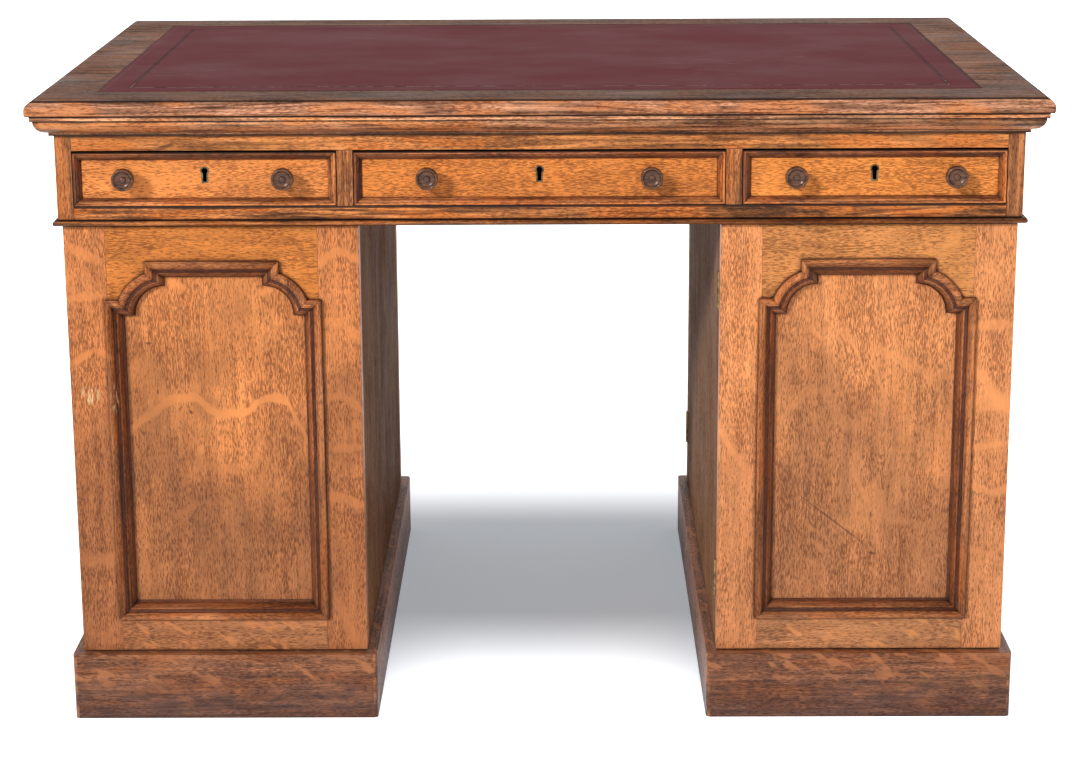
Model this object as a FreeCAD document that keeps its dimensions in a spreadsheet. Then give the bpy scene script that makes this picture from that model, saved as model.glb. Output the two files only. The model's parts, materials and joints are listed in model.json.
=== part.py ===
import FreeCAD, Part
import math
import os
from types import SimpleNamespace

# An oak partners desk: a moulded top with a leather inset, a frieze with drawers on both long
# sides, and two pedestals with a door at each end. Millimetres, +Z up, +X to the right, and the
# front looks along -Y. The origin is on the floor under the middle of the top.

Vector = FreeCAD.Vector
UP = Vector(0, 0, 1)
FRONT = -1
REAR = 1
SIDES = {"front": FRONT, "rear": REAR}

SIZES = {
    # The stack of heights from the floor to the writing surface
    "plinth_height": 85,
    "pedestal_height": 549,
    "base_moulding_height": 7,
    "bottom_rail_height": 16.5,
    "drawer_opening_height": 68,
    "top_rail_height": 45.5,
    "top_thickness": 19,
    # Top and leather
    "top_width": 1220,
    "top_depth": 760,
    "top_corner_radius": 7,
    "top_nose_width": 15,
    "top_nose_height": 14,
    "top_under_round": 4.5,
    "front_plank_width": 213,
    "leather_border": 75,
    "leather_thickness": 1.3,
    "leather_sink": 0.2,
    # Cornice under the top
    "cornice_reach": 23.4,
    "cornice_height": 26,
    "cornice_fillet_height": 6,
    "cornice_fillet_step": 3.1,
    "cornice_bead_height": 4,
    "cornice_bead_reach": 5,
    # Frieze
    "frieze_inset": 29.5,
    "post_width": 20,
    "post_depth": 40,
    "end_board_thickness": 20,
    "top_rail_thickness": 22,
    "bottom_rail_depth": 50,
    "divider_width": 19.5,
    "divider_depth": 50,
    "centre_opening_width": 447,
    "centre_board_thickness": 16,
    "base_moulding_reach": 5.5,
    "base_moulding_width": 60,
    "base_moulding_nose": 3,
    # Runners, guides and kickers
    "runner_thickness": 12,
    "end_runner_width": 30,
    "middle_runner_width": 60,
    "guide_height": 12,
    "kicker_thickness": 12,
    # Drawers
    "drawer_side_gap": 1,
    "drawer_top_gap": 2,
    "drawer_under_gap": 0.3,
    "drawer_front_thickness": 19,
    "drawer_tail_gap": 19.5,
    "drawer_side_thickness": 10,
    "drawer_side_drop": 3,
    "drawer_back_thickness": 10,
    "drawer_back_drop": 10,
    "drawer_bottom_thickness": 7,
    "drawer_bottom_rise": 6,
    "drawer_groove_depth": 5,
    "strip_width": 9.5,
    "strip_thickness": 5,
    "strip_proud": 1,
    "strip_fillet": 3,
    "strip_foot": 0.8,
    # Knobs
    "knob_diameter": 27,
    "knob_projection": 26,
    "knob_collar_diameter": 17,
    "knob_neck_diameter": 12,
    "knob_spigot_diameter": 10,
    "knob_spigot_clearance": 0.1,
    "knob_rise": 3,
    # Drawer locks
    "lock_width": 60,
    "lock_height": 42,
    "lock_depth": 12,
    "bolt_width": 30,
    "bolt_thickness": 6,
    "bolt_length": 24,
    "bolt_clearance": 0.3,
    "bolt_mortise_clearance": 1,
    "bolt_mortise_depth": 8,
    "keyhole_rise": 4.8,
    "keyhole_height": 20,
    "keyhole_head_diameter": 10.4,
    "keyhole_foot_width": 7.6,
    "keyhole_wall": 1.5,
    "keyhole_proud": 0.3,
    # Pedestals
    "pedestal_inset": 34,
    "pedestal_width": 357,
    "pedestal_side_thickness": 18,
    "pedestal_board_thickness": 18,
    "shelf_thickness": 16,
    "shelf_setback": 6,
    "bearer_height": 16,
    "bearer_width": 14,
    # Plinths
    "plinth_reach": 12.5,
    "plinth_thickness": 22,
    "glue_block_size": 28,
    "glue_block_drop": 10,
    # Doors
    "door_thickness": 22,
    "door_joint_gap": 0.6,
    "door_end_gap": 1.8,
    "stile_width": 50,
    "panel_recess": 9,
    "panel_thickness": 7,
    "panel_groove_depth": 8,
    "panel_head_cover": 12,
    # Door moulding
    "moulding_side_inset": 47,
    "moulding_top_inset": 43,
    "moulding_bottom_inset": 42,
    "moulding_width": 22,
    "moulding_lip": 3,
    "moulding_rise": 8.5,
    "moulding_bead_width": 9.5,
    "moulding_quirk_width": 1.5,
    "moulding_foot_width": 2.5,
    "ledge_width": 17,
    "ledge_drop": 48.5,
    "step_height": 15,
    "corner_radius": 58,
    # Hinges
    "hinge_height": 48,
    "hinge_end_distance": 63,
    "knuckle_diameter": 6,
    "knuckle_clearance": 0.3,
    "leaf_width": 16,
    "leaf_thickness": 1.5,
    "hinge_pin_diameter": 3,
    "hinge_pin_clearance": 0.05,
    "screw_head_diameter": 5.6,
    "screw_shank_diameter": 3,
    "screw_length": 14,
    # How far a cutting tool runs past what it cuts
    "overrun": 2,
}

# How far the middle of a quarter round stands in from its two sides, as a share of its radius
ROUND_MIDDLE_SHARE = 1 - math.sqrt(1 / 2)
KNOB_OFFSET_SHARE = 0.6
SHELF_HEIGHT_SHARE = 0.52
HINGE_SCREW_SHARES = (0.18, 0.5, 0.82)
LEAF_SCREW_SHARE = 0.62
PLANKS_BEHIND_FRONT = 3
KNUCKLES = 3

# The knob's turned outline as (share of head radius, share of projection); a pair is an arc,
# given by a point on it and its end
KNOB_HEAD_SHARES = [
    ((0.66, 0.44), (0.92, 0.6)),
    ((1.0, 0.74), (0.95, 0.9)),
    ((0.88, 1.0), (0.78, 0.97)),
    ((0.55, 0.87), (0.3, 0.85)),
    ((0.24, 0.93), (0.1, 0.955)),
]
KNOB_BOSS_SHARE = 0.955
KNOB_COLLAR_SHARE = 0.1
KNOB_COVE_SHARE = 0.2
KNOB_NECK_SHARE = 0.34


class Size:
    """A length: its value, and the expression that works it out from the sheet's cells."""

    def __init__(self, value, text):
        self.value = value
        self.text = text

    def __float__(self):
        return float(self.value)

    def __neg__(self):
        return Size(-self.value, f"(-{self.text})")

    def __add__(self, other):
        other = as_size(other)
        return Size(self.value + other.value, f"({self.text} + {other.text})")

    def __sub__(self, other):
        other = as_size(other)
        return Size(self.value - other.value, f"({self.text} - {other.text})")

    def __mul__(self, other):
        other = as_size(other)
        return Size(self.value * other.value, f"({self.text} * {other.text})")

    def __truediv__(self, number):
        return Size(self.value / number, f"({self.text} / {number})")

    def __radd__(self, other):
        return as_size(other) + self

    def __rsub__(self, other):
        return as_size(other) - self

    def __rmul__(self, other):
        return as_size(other) * self


def as_size(number):
    """A plain number as a Size, so that both can stand in one sum."""
    return number if isinstance(number, Size) else Size(number, str(number))


# The document, its sheet of driving sizes, and the sizes as read back from the sheet
doc = FreeCAD.newDocument("PartnersDesk")
sheet = doc.addObject("Spreadsheet::Sheet", "Sizes")
for row, (alias, number) in enumerate(SIZES.items(), start=1):
    sheet.set(f"A{row}", alias)
    sheet.set(f"B{row}", str(number))
    sheet.setAlias(f"B{row}", alias)
doc.recompute()
size = SimpleNamespace(**{alias: Size(float(sheet.get(alias)), f"Sizes.{alias}") for alias in SIZES})
nodes = []

# Heights
pedestal_top = size.plinth_height + size.pedestal_height
frieze_bottom = pedestal_top + size.base_moulding_height
opening_bottom = frieze_bottom + size.bottom_rail_height
opening_top = opening_bottom + size.drawer_opening_height
frieze_top = opening_top + size.top_rail_height
desk_height = frieze_top + size.top_thickness

# Distances from the middle of the desk, along X and along Y
half_width = size.top_width / 2
half_depth = size.top_depth / 2
frieze_half_width = half_width - size.frieze_inset
frieze_half_depth = half_depth - size.frieze_inset
post_inner = frieze_half_width - size.post_width
centre_half_opening = size.centre_opening_width / 2
divider_outer = centre_half_opening + size.divider_width
centre_board_face = size.centre_board_thickness / 2
pedestal_outer = half_width - size.pedestal_inset
pedestal_inner = pedestal_outer - size.pedestal_width
door_face = half_depth - size.pedestal_inset
door_back = door_face - size.door_thickness
carcase_edge = door_back - size.door_joint_gap
hinge_line = (door_back + carcase_edge) / 2

# The drawer fronts, from the moulding's face inwards
drawer_field = frieze_half_depth + size.strip_proud - size.strip_thickness
drawer_front_back = drawer_field - size.drawer_front_thickness
drawer_tail = centre_board_face + size.drawer_tail_gap
drawer_bottom = opening_bottom + size.drawer_under_gap
drawer_top = opening_top - size.drawer_top_gap
lock_middle = drawer_front_back + size.lock_depth / 2

# The doors, all alike, measured from a door's own middle and foot
door_half_width = size.pedestal_width / 2
door_foot = size.plinth_height + size.door_end_gap
door_height = size.pedestal_height - 2 * size.door_end_gap

# X limits of the drawer openings and of the pedestals
OPENINGS = {
    "left": (-post_inner, -divider_outer),
    "centre": (-centre_half_opening, centre_half_opening),
    "right": (divider_outer, post_inner),
}
PEDESTALS = {
    "left": (-pedestal_outer, -pedestal_inner),
    "right": (pedestal_inner, pedestal_outer),
}


# Document helpers

def bind(thing, place, length):
    """Ties one property of an object to the sheet."""
    thing.setExpression(place, length.text)


def board(name, x, y, z):
    """A rectangular board between two places on each axis."""
    box = doc.addObject("Part::Box", name)
    for axis, side, (low, high) in zip("xyz", ("Length", "Width", "Height"), (x, y, z)):
        bind(box, f"Placement.Base.{axis}", as_size(low))
        bind(box, side, high - low)
    return box


def cut(base, *tools):
    """The base with each tool cut out of it."""
    for tool in tools:
        result = doc.addObject("Part::Cut", f"{base.Name}_cut")
        result.Base = base
        result.Tool = tool
        base = result
    return base


def feature(name, shape, place=None):
    """A shape made with Part's own functions, as an object of the document."""
    thing = doc.addObject("Part::Feature", name)
    thing.Shape = shape
    if place is not None:
        thing.Placement = place
    return thing


def node(name, *pieces):
    """A named sub-part that holds its pieces as separate solids."""
    group = doc.addObject("Part::Compound", name)
    group.Links = list(pieces)
    group.Label = name
    nodes.append(group)


def across(facing, near, far):
    """The Y limits of what lies between two distances from the middle, towards one long side."""
    return (-far, -near) if facing == FRONT else (near, far)


def on_face(facing, x, distance, z):
    """Stands a shape drawn flat, with its face up, against one long side of the desk."""
    turn = FreeCAD.Rotation(Vector(1, 0, 0), 90)
    if facing == REAR:
        turn = FreeCAD.Rotation(UP, 180) * turn
    return FreeCAD.Placement(Vector(x, facing * distance, z), turn)


# Outlines, mouldings and mitres, drawn in plan with their thickness along Z

def outline_face(steps, place):
    """A flat face inside line and arc steps; an arc is a pair of points, one on it and its end."""
    edges = []
    here = place(*steps[0])
    for step in [*steps[1:], steps[0]]:
        if isinstance(step[0], tuple):
            via, end = [place(*point) for point in step]
            edges.append(Part.Arc(here, via, end).toShape())
        else:
            end = place(*step)
            edges.append(Part.LineSegment(here, end).toShape())
        here = end
    return Part.Face(Part.Wire(edges))


def section(profile, corner, inward):
    """A moulding's section, drawn from its outer corner as (distance inwards, height) steps."""
    return outline_face(profile, lambda reach, rise: corner + inward * float(reach) + UP * float(rise))


def heights(profile):
    """The lowest and highest point of a section."""
    points = [step[1] if isinstance(step[0], tuple) else step for step in profile]
    vias = [step[0] for step in profile if isinstance(step[0], tuple)]
    rises = [float(rise) for reach, rise in points + vias]
    return min(rises), max(rises)


def plan_mask(corners, profile):
    """An upright prism over a plan outline, taller than the section on both sides."""
    low, high = heights(profile)
    overrun = float(size.overrun)
    foot = [corner + UP * (low - overrun) for corner in corners]
    return Part.Face(Part.makePolygon([*foot, foot[0]])).extrude(UP * (high - low + 2 * overrun))


def past(inner, outer):
    """A point on the mitre line a little beyond its outer corner."""
    line = outer - inner
    return outer + line.normalize() * float(size.overrun)


def mitred_length(profile, outer_start, outer_end, inner_end, inner_start):
    """A straight moulding with its inside on the left, cut at both ends along its mitre lines."""
    along = outer_end - outer_start
    along.normalize()
    stops = [along.dot(corner - outer_start) for corner in (outer_start, outer_end, inner_end, inner_start)]
    start = outer_start + along * min(stops)
    bar = section(profile, start, UP.cross(along)).extrude(along * (max(stops) - min(stops)))
    corners = [
        past(inner_start, outer_start),
        past(inner_end, outer_end),
        past(outer_end, inner_end),
        past(outer_start, inner_start),
    ]
    return bar.common(plan_mask(corners, profile))


def mitred_ring(profile, half_x, half_y, width, middle_x=0):
    """Four mitred lengths round a rectangle, given by its outer half sizes and their width."""
    def corners(inset):
        x = float(half_x - inset)
        y = float(half_y - inset)
        signs = [(-1, -1), (1, -1), (1, 1), (-1, 1)]
        return [Vector(middle_x + sign_x * x, sign_y * y, 0) for sign_x, sign_y in signs]

    outer = corners(0)
    inner = corners(width)
    return [
        mitred_length(profile, outer[turn - 1], outer[turn], inner[turn], inner[turn - 1])
        for turn in range(len(outer))
    ]


# Top

def top_section(half):
    """The top's section across its width or depth: a thumb moulding over a small round."""
    nose = size.top_nose_width
    drop = size.top_nose_height
    under = size.top_under_round
    nose_ease = nose * ROUND_MIDDLE_SHARE
    drop_ease = drop * ROUND_MIDDLE_SHARE
    under_ease = under * ROUND_MIDDLE_SHARE
    return [
        (-half, frieze_top + under),
        ((under_ease - half, frieze_top + under_ease), (under - half, frieze_top)),
        (half - under, frieze_top),
        ((half - under_ease, frieze_top + under_ease), (half, frieze_top + under)),
        (half, desk_height - drop),
        ((half - nose_ease, desk_height - drop_ease), (half - nose, desk_height)),
        (nose - half, desk_height),
        ((nose_ease - half, desk_height - drop_ease), (-half, desk_height - drop)),
    ]


def moulded_slab():
    """The whole top before it is divided into planks."""
    lengthwise = outline_face(top_section(half_width), lambda a, z: Vector(a, -half_depth, z))
    crosswise = outline_face(top_section(half_depth), lambda a, z: Vector(-half_width, a, z))
    blank = Part.makeBox(size.top_width, size.top_depth, size.top_thickness,
                         Vector(-half_width, -half_depth, frieze_top))
    upright = [edge for edge in blank.Edges if edge.Vertexes[0].Z != edge.Vertexes[1].Z]
    blank = blank.makeFillet(float(size.top_corner_radius), upright)
    slab = lengthwise.extrude(Vector(0, size.top_depth, 0))
    return slab.common(crosswise.extrude(Vector(size.top_width, 0, 0))).common(blank)


def make_top():
    """Planks glued edge to edge, with a shallow recess that holds the leather."""
    slab = moulded_slab()
    leather_x = half_width - size.leather_border
    leather_y = half_depth - size.leather_border
    recess_floor = desk_height - size.leather_sink - size.leather_thickness
    recess = board("leather_recess", (-leather_x, leather_x), (-leather_y, leather_y),
                   (recess_floor, desk_height + size.overrun))
    back_width = (size.top_depth - size.front_plank_width) / PLANKS_BEHIND_FRONT
    joints = [-half_depth, size.front_plank_width - half_depth]
    for _ in range(PLANKS_BEHIND_FRONT):
        joints.append(joints[-1] + back_width)
    planks = []
    for near, far in zip(joints, joints[1:]):
        blank = Part.makeBox(size.top_width, far - near, size.top_thickness,
                             Vector(-half_width, near, frieze_top))
        planks.append(cut(feature("plank", slab.common(blank)), recess))
    node("top_boards", *planks)
    leather = board("leather", (-leather_x, leather_x), (-leather_y, leather_y),
                    (recess_floor, recess_floor + size.leather_thickness))
    node("leather_skiver", leather)


# Frieze

def make_cornice():
    """Fillet, ovolo and bead planted round the frieze, close under the top."""
    reach = size.cornice_reach
    foot = frieze_top - size.cornice_height
    bead_top = foot + size.cornice_bead_height
    fillet_foot = frieze_top - size.cornice_fillet_height
    ovolo_start = size.cornice_fillet_step
    ovolo_end = reach - size.cornice_bead_reach
    ovolo_middle = (ovolo_start + (ovolo_end - ovolo_start) * ROUND_MIDDLE_SHARE,
                    bead_top + (fillet_foot - bead_top) * ROUND_MIDDLE_SHARE)
    profile = [
        (reach, foot),
        (reach, frieze_top),
        (0, frieze_top),
        (0, fillet_foot),
        (ovolo_start, fillet_foot),
        (ovolo_middle, (ovolo_end, bead_top)),
        (ovolo_end, foot),
    ]
    lengths = mitred_ring(profile, frieze_half_width + reach, frieze_half_depth + reach, reach)
    node("cornice_moulding", *[feature("cornice_length", length) for length in lengths])


def make_base_moulding():
    """A flat frame with a rounded nose, between the frieze and the pedestals."""
    nose = size.base_moulding_nose
    width = size.base_moulding_width
    profile = [
        (width, pedestal_top),
        (width, frieze_bottom),
        (nose, frieze_bottom),
        ((0, (frieze_bottom + pedestal_top) / 2), (nose, pedestal_top)),
    ]
    reach = size.base_moulding_reach
    lengths = mitred_ring(profile, frieze_half_width + reach, frieze_half_depth + reach, width)
    node("frieze_base_moulding", *[feature("base_length", length) for length in lengths])


def make_frieze_ends():
    """Corner posts, with an end board between each pair."""
    post_back = frieze_half_depth - size.post_depth
    end_inner = frieze_half_width - size.end_board_thickness
    frieze_z = (frieze_bottom, frieze_top)
    pieces = []
    for facing in SIDES.values():
        post_y = across(facing, post_back, frieze_half_depth)
        pieces.append(board("post", (-frieze_half_width, -post_inner), post_y, frieze_z))
        pieces.append(board("post", (post_inner, frieze_half_width), post_y, frieze_z))
    for end_x in ((-frieze_half_width, -end_inner), (end_inner, frieze_half_width)):
        pieces.append(board("end_board", end_x, (-post_back, post_back), frieze_z))
    node("frieze_ends", *pieces)


def bolt_mortise(facing, left, right):
    """The hole over a drawer lock that takes its bolt."""
    middle = (left + right) / 2
    half = size.bolt_width / 2 + size.bolt_mortise_clearance
    half_thickness = size.bolt_thickness / 2 + size.bolt_mortise_clearance
    return board("bolt_mortise", (middle - half, middle + half),
                 across(facing, lock_middle - half_thickness, lock_middle + half_thickness),
                 (opening_top - size.overrun, opening_top + size.bolt_mortise_depth))


def make_frieze_frame():
    """Rails and dividers of both long sides, and the board between front and rear drawers."""
    rails = []
    dividers = []
    for facing in SIDES.values():
        mortises = [bolt_mortise(facing, *limits) for limits in OPENINGS.values()]
        top_rail = board("top_rail", (-post_inner, post_inner),
                         across(facing, frieze_half_depth - size.top_rail_thickness, frieze_half_depth),
                         (opening_top, frieze_top))
        bottom_rail = board("bottom_rail", (-post_inner, post_inner),
                            across(facing, frieze_half_depth - size.bottom_rail_depth, frieze_half_depth),
                            (frieze_bottom, opening_bottom))
        rails += [cut(top_rail, *mortises), bottom_rail]
        divider_y = across(facing, frieze_half_depth - size.divider_depth, frieze_half_depth)
        for divider_x in ((-divider_outer, -centre_half_opening), (centre_half_opening, divider_outer)):
            dividers.append(board("divider", divider_x, divider_y, (opening_bottom, opening_top)))
    node("frieze_rails", *rails)
    node("frieze_dividers", *dividers)
    end_inner = frieze_half_width - size.end_board_thickness
    node("frieze_centre_board", board("centre_board", (-end_inner, end_inner),
                                      (-centre_board_face, centre_board_face),
                                      (frieze_bottom, frieze_top)))


def make_runners():
    """Strips that carry, guide and steady the drawers, from the rails to the centre board."""
    end_inner = frieze_half_width - size.end_board_thickness
    divider_middle = (divider_outer + centre_half_opening) / 2
    half_runner = size.middle_runner_width / 2
    strips_x = [
        (-end_inner, size.end_runner_width - end_inner),
        (-divider_middle - half_runner, half_runner - divider_middle),
        (divider_middle - half_runner, divider_middle + half_runner),
        (end_inner - size.end_runner_width, end_inner),
    ]
    pieces = []
    for facing in SIDES.values():
        runner_y = across(facing, centre_board_face, frieze_half_depth - size.bottom_rail_depth)
        kicker_y = across(facing, centre_board_face, frieze_half_depth - size.top_rail_thickness)
        guide_y = across(facing, centre_board_face, frieze_half_depth - size.divider_depth)
        for strip_x in strips_x:
            pieces.append(board("runner", strip_x, runner_y,
                                (opening_bottom - size.runner_thickness, opening_bottom)))
            pieces.append(board("kicker", strip_x, kicker_y,
                                (opening_top, opening_top + size.kicker_thickness)))
        for guide_x in ((-divider_outer, -centre_half_opening), (centre_half_opening, divider_outer)):
            pieces.append(board("guide", guide_x, guide_y,
                                (opening_bottom, opening_bottom + size.guide_height)))
    node("drawer_runners", *pieces)


# Drawers

def knob_shape():
    """A turned knob with its spigot, standing on Z = 0 with its face up."""
    radius = size.knob_diameter / 2
    reach = size.knob_projection
    collar = size.knob_collar_diameter / 2
    neck = size.knob_neck_diameter / 2
    spigot = size.knob_spigot_diameter / 2
    foot = -size.drawer_front_thickness
    steps = [
        (0, foot),
        (spigot, foot),
        (spigot, 0),
        (collar, 0),
        (collar, reach * KNOB_COLLAR_SHARE),
        (neck, reach * KNOB_COVE_SHARE),
        (neck, reach * KNOB_NECK_SHARE),
    ]
    for step in KNOB_HEAD_SHARES:
        steps.append(tuple((radius * out, reach * up) for out, up in step))
    steps.append((0, reach * KNOB_BOSS_SHARE))
    turned = outline_face(steps, lambda out, up: Vector(out, 0, up))
    return turned.revolve(Vector(0, 0, 0), UP, 360)


def keyhole_shape(margin, depth):
    """A keyhole's outline, smaller all round by a margin, as a plug of some depth below Z = 0."""
    radius = size.keyhole_head_diameter / 2
    head_middle = size.keyhole_height / 2 - radius
    half_foot = size.keyhole_foot_width / 2 - margin
    foot = margin - size.keyhole_height / 2
    head = Part.makeCylinder(float(radius - margin), depth, Vector(0, head_middle, -depth))
    slot = Part.makeBox(2 * half_foot, head_middle - foot, depth, Vector(-half_foot, foot, -depth))
    return head.fuse(slot).removeSplitter()


def strip_profile():
    """The moulding round a drawer front: a flat fillet, then an ovolo down to the field."""
    width = size.strip_width
    top = size.strip_thickness
    fillet = size.strip_fillet
    foot = size.strip_foot
    round_middle = (width - (width - fillet) * ROUND_MIDDLE_SHARE,
                    top - foot - (top - 2 * foot) * ROUND_MIDDLE_SHARE)
    return [
        (width, 0),
        (0, 0),
        (0, top - foot),
        (foot, top),
        (fillet, top),
        (fillet, top - foot),
        (round_middle, (width, foot)),
    ]


def make_drawer(name, facing, left, right):
    """A drawer with its moulded front, box, knobs, lock and bolt."""
    x_low = left + size.drawer_side_gap
    x_high = right - size.drawer_side_gap
    middle = (left + right) / 2
    middle_height = (drawer_bottom + drawer_top) / 2
    front_y = across(facing, drawer_front_back, drawer_field)

    # Lock, let into the back of the front and flush with its top edge
    half_lock = size.lock_width / 2
    lock_x = (middle - half_lock, middle + half_lock)
    lock_y = across(facing, drawer_front_back, drawer_front_back + size.lock_depth)
    case = board("lock_case", lock_x, lock_y, (drawer_top - size.lock_height, drawer_top))
    half_bolt = size.bolt_width / 2
    half_thickness = size.bolt_thickness / 2
    bolt_foot = drawer_top - size.bolt_length
    gap = size.bolt_clearance
    bolt = board("bolt", (middle - half_bolt, middle + half_bolt),
                 across(facing, lock_middle - half_thickness, lock_middle + half_thickness),
                 (bolt_foot, drawer_top))
    slot = board("bolt_slot", (middle - half_bolt - gap, middle + half_bolt + gap),
                 across(facing, lock_middle - half_thickness - gap, lock_middle + half_thickness + gap),
                 (bolt_foot - gap, drawer_top + size.overrun))
    liner_depth = float(size.drawer_front_thickness - size.lock_depth)
    liner_place = on_face(facing, middle, drawer_field, middle_height + size.keyhole_rise)
    proud = UP * float(size.keyhole_proud)
    plug = keyhole_shape(as_size(0), liner_depth + float(size.keyhole_proud)).translate(proud)
    hollow = keyhole_shape(size.keyhole_wall, liner_depth + float(size.keyhole_proud)).translate(proud)
    liner = feature("keyhole_liner", plug.cut(hollow), liner_place)
    keyhole = feature("keyhole", plug, liner_place)

    # Box, with its bottom board in grooves
    side_thickness = size.drawer_side_thickness
    groove = size.drawer_groove_depth
    bottom_foot = drawer_bottom + size.drawer_bottom_rise
    bottom = board("bottom", (x_low + side_thickness - groove, x_high - side_thickness + groove),
                   across(facing, drawer_tail, drawer_front_back + groove),
                   (bottom_foot, bottom_foot + size.drawer_bottom_thickness))
    side_y = across(facing, drawer_tail, drawer_front_back)
    side_z = (drawer_bottom, drawer_top - size.drawer_side_drop)
    left_side = board("side", (x_low, x_low + side_thickness), side_y, side_z)
    right_side = board("side", (x_high - side_thickness, x_high), side_y, side_z)
    back = board("back", (x_low + side_thickness, x_high - side_thickness),
                 across(facing, drawer_tail, drawer_tail + size.drawer_back_thickness),
                 (bottom_foot + size.drawer_bottom_thickness, drawer_top - size.drawer_back_drop))
    node(f"{name}_box", cut(left_side, bottom), cut(right_side, bottom), back, bottom)

    # Knobs, spaced by the opening they serve
    knob_offset = (right - left) / 2 * KNOB_OFFSET_SHARE
    knobs = []
    holes = []
    hole_radius = size.knob_spigot_diameter / 2 + size.knob_spigot_clearance
    hole_depth = size.drawer_front_thickness + 2 * size.overrun
    for knob_x in (middle - knob_offset, middle + knob_offset):
        place = on_face(facing, knob_x, drawer_field, middle_height + size.knob_rise)
        knobs.append(feature("knob", knob_shape(), place))
        hole_foot = Vector(0, 0, size.overrun - hole_depth)
        holes.append(feature("knob_hole", Part.makeCylinder(hole_radius, hole_depth, hole_foot), place))
    node(f"{name}_knobs", *knobs)

    # Front board and its moulding
    front = board("front", (x_low, x_high), front_y, (drawer_bottom, drawer_top))
    half_x = (x_high - x_low) / 2
    half_z = (drawer_top - drawer_bottom) / 2
    strip_place = on_face(facing, middle, drawer_field, middle_height)
    strips = [feature("strip", strip, strip_place)
              for strip in mitred_ring(strip_profile(), half_x, half_z, size.strip_width)]
    node(f"{name}_front", cut(front, bottom, case, keyhole, *holes), *strips)
    node(f"{name}_lock", cut(case, slot), liner)
    node(f"{name}_bolt", bolt)


# Pedestals and plinths

def make_pedestal(name, left, right):
    """A cupboard that opens at both ends, with a centre board and a shelf on each side of it."""
    thickness = size.pedestal_side_thickness
    inner_left = left + thickness
    inner_right = right - thickness
    side_y = (-carcase_edge, carcase_edge)
    pedestal_z = (size.plinth_height, pedestal_top)
    floor_top = size.plinth_height + size.pedestal_board_thickness
    ceiling = pedestal_top - size.pedestal_board_thickness
    hung_side = board("hung_side", (left, inner_left), side_y, pedestal_z)
    pockets = [hinge_pocket(facing, left, foot) for facing in SIDES.values() for foot in hinge_feet()]
    pieces = [
        cut(hung_side, *pockets),
        board("plain_side", (inner_right, right), side_y, pedestal_z),
        board("floor", (inner_left, inner_right), side_y, (size.plinth_height, floor_top)),
        board("ceiling", (inner_left, inner_right), side_y, (ceiling, pedestal_top)),
        board("centre", (inner_left, inner_right), (-centre_board_face, centre_board_face),
              (floor_top, ceiling)),
    ]
    shelf_foot = floor_top + (ceiling - floor_top) * SHELF_HEIGHT_SHARE
    shelf_z = (shelf_foot, shelf_foot + size.shelf_thickness)
    bearer_z = (shelf_foot - size.bearer_height, shelf_foot)
    for facing in SIDES.values():
        shelf_y = across(facing, centre_board_face, carcase_edge - size.shelf_setback)
        pieces += [
            board("shelf", (inner_left, inner_right), shelf_y, shelf_z),
            board("bearer", (inner_left, inner_left + size.bearer_width), shelf_y, bearer_z),
            board("bearer", (inner_right - size.bearer_width, inner_right), shelf_y, bearer_z),
        ]
    node(f"{name}_pedestal_carcase", *pieces)


def make_plinth(name, left, right):
    """Four mitred boards under a pedestal, with a glue block in each corner."""
    middle = (left + right) / 2
    half_x = (right - left) / 2 + size.plinth_reach
    half_y = door_face + size.plinth_reach
    thickness = size.plinth_thickness
    profile = [(0, 0), (0, size.plinth_height), (thickness, size.plinth_height), (thickness, 0)]
    lengths = mitred_ring(profile, half_x, half_y, thickness, float(middle))
    pieces = [feature("plinth_board", length) for length in lengths]
    block = size.glue_block_size
    block_z = (size.glue_block_drop, size.plinth_height)
    near_x = half_x - thickness
    for facing in SIDES.values():
        block_y = across(facing, half_y - thickness - block, half_y - thickness)
        pieces.append(board("glue_block", (middle - near_x, middle - near_x + block), block_y, block_z))
        pieces.append(board("glue_block", (middle + near_x - block, middle + near_x), block_y, block_z))
    node(f"{name}_plinth", *pieces)


# Hinges, drawn for the front: the pin stands on the origin, the leaves lie along +X, the
# carcase is at +Y and the door at -Y

def hinge_feet():
    """Heights of the lower ends of a door's two hinges."""
    low = door_foot + size.hinge_end_distance
    high = door_foot + door_height - size.hinge_end_distance - size.hinge_height
    return low, high


def leaf_screws():
    """Countersunk screws of a leaf, driven towards +Y from the leaf's bare face."""
    face = size.door_joint_gap / 2
    head = size.screw_head_diameter / 2
    shank = float(size.screw_shank_diameter / 2)
    into = Vector(0, 1, 0)
    screws = []
    for share in HINGE_SCREW_SHARES:
        start = Vector(size.leaf_width * LEAF_SCREW_SHARE, face, size.hinge_height * share)
        cone = Part.makeCone(head, shank, size.leaf_thickness, start, into)
        screws.append(cone.fuse(Part.makeCylinder(shank, size.screw_length, start, into)).removeSplitter())
    return screws


def knuckle(index, bore_radius):
    """One of the hinge's knuckles: its foot and height, its barrel and its bore."""
    gap = size.knuckle_clearance
    height = (size.hinge_height - gap * (KNUCKLES - 1)) / KNUCKLES
    foot = Vector(0, 0, (height + gap) * index)
    barrel = Part.makeCylinder(size.knuckle_diameter / 2, height, foot)
    bore = Part.makeCylinder(bore_radius, height, foot)
    return foot, height, barrel, bore


def leaf_shape(own_knuckles, bore_radius):
    """A leaf on the +Y side with its own knuckles, before its screw holes."""
    face = size.door_joint_gap / 2
    start = size.knuckle_diameter / 2 + size.knuckle_clearance
    leaf = Part.makeBox(size.leaf_width - start, size.leaf_thickness, size.hinge_height,
                        Vector(start, face, 0))
    bores = []
    for index in own_knuckles:
        foot, height, barrel, bore = knuckle(index, bore_radius)
        tab = Part.makeBox(start, size.leaf_thickness, height, foot + Vector(0, face, 0))
        leaf = leaf.fuse([tab, barrel])
        bores.append(bore)
    leaf = leaf.cut(bores).removeSplitter()
    return leaf.cut(leaf_screws())


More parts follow.
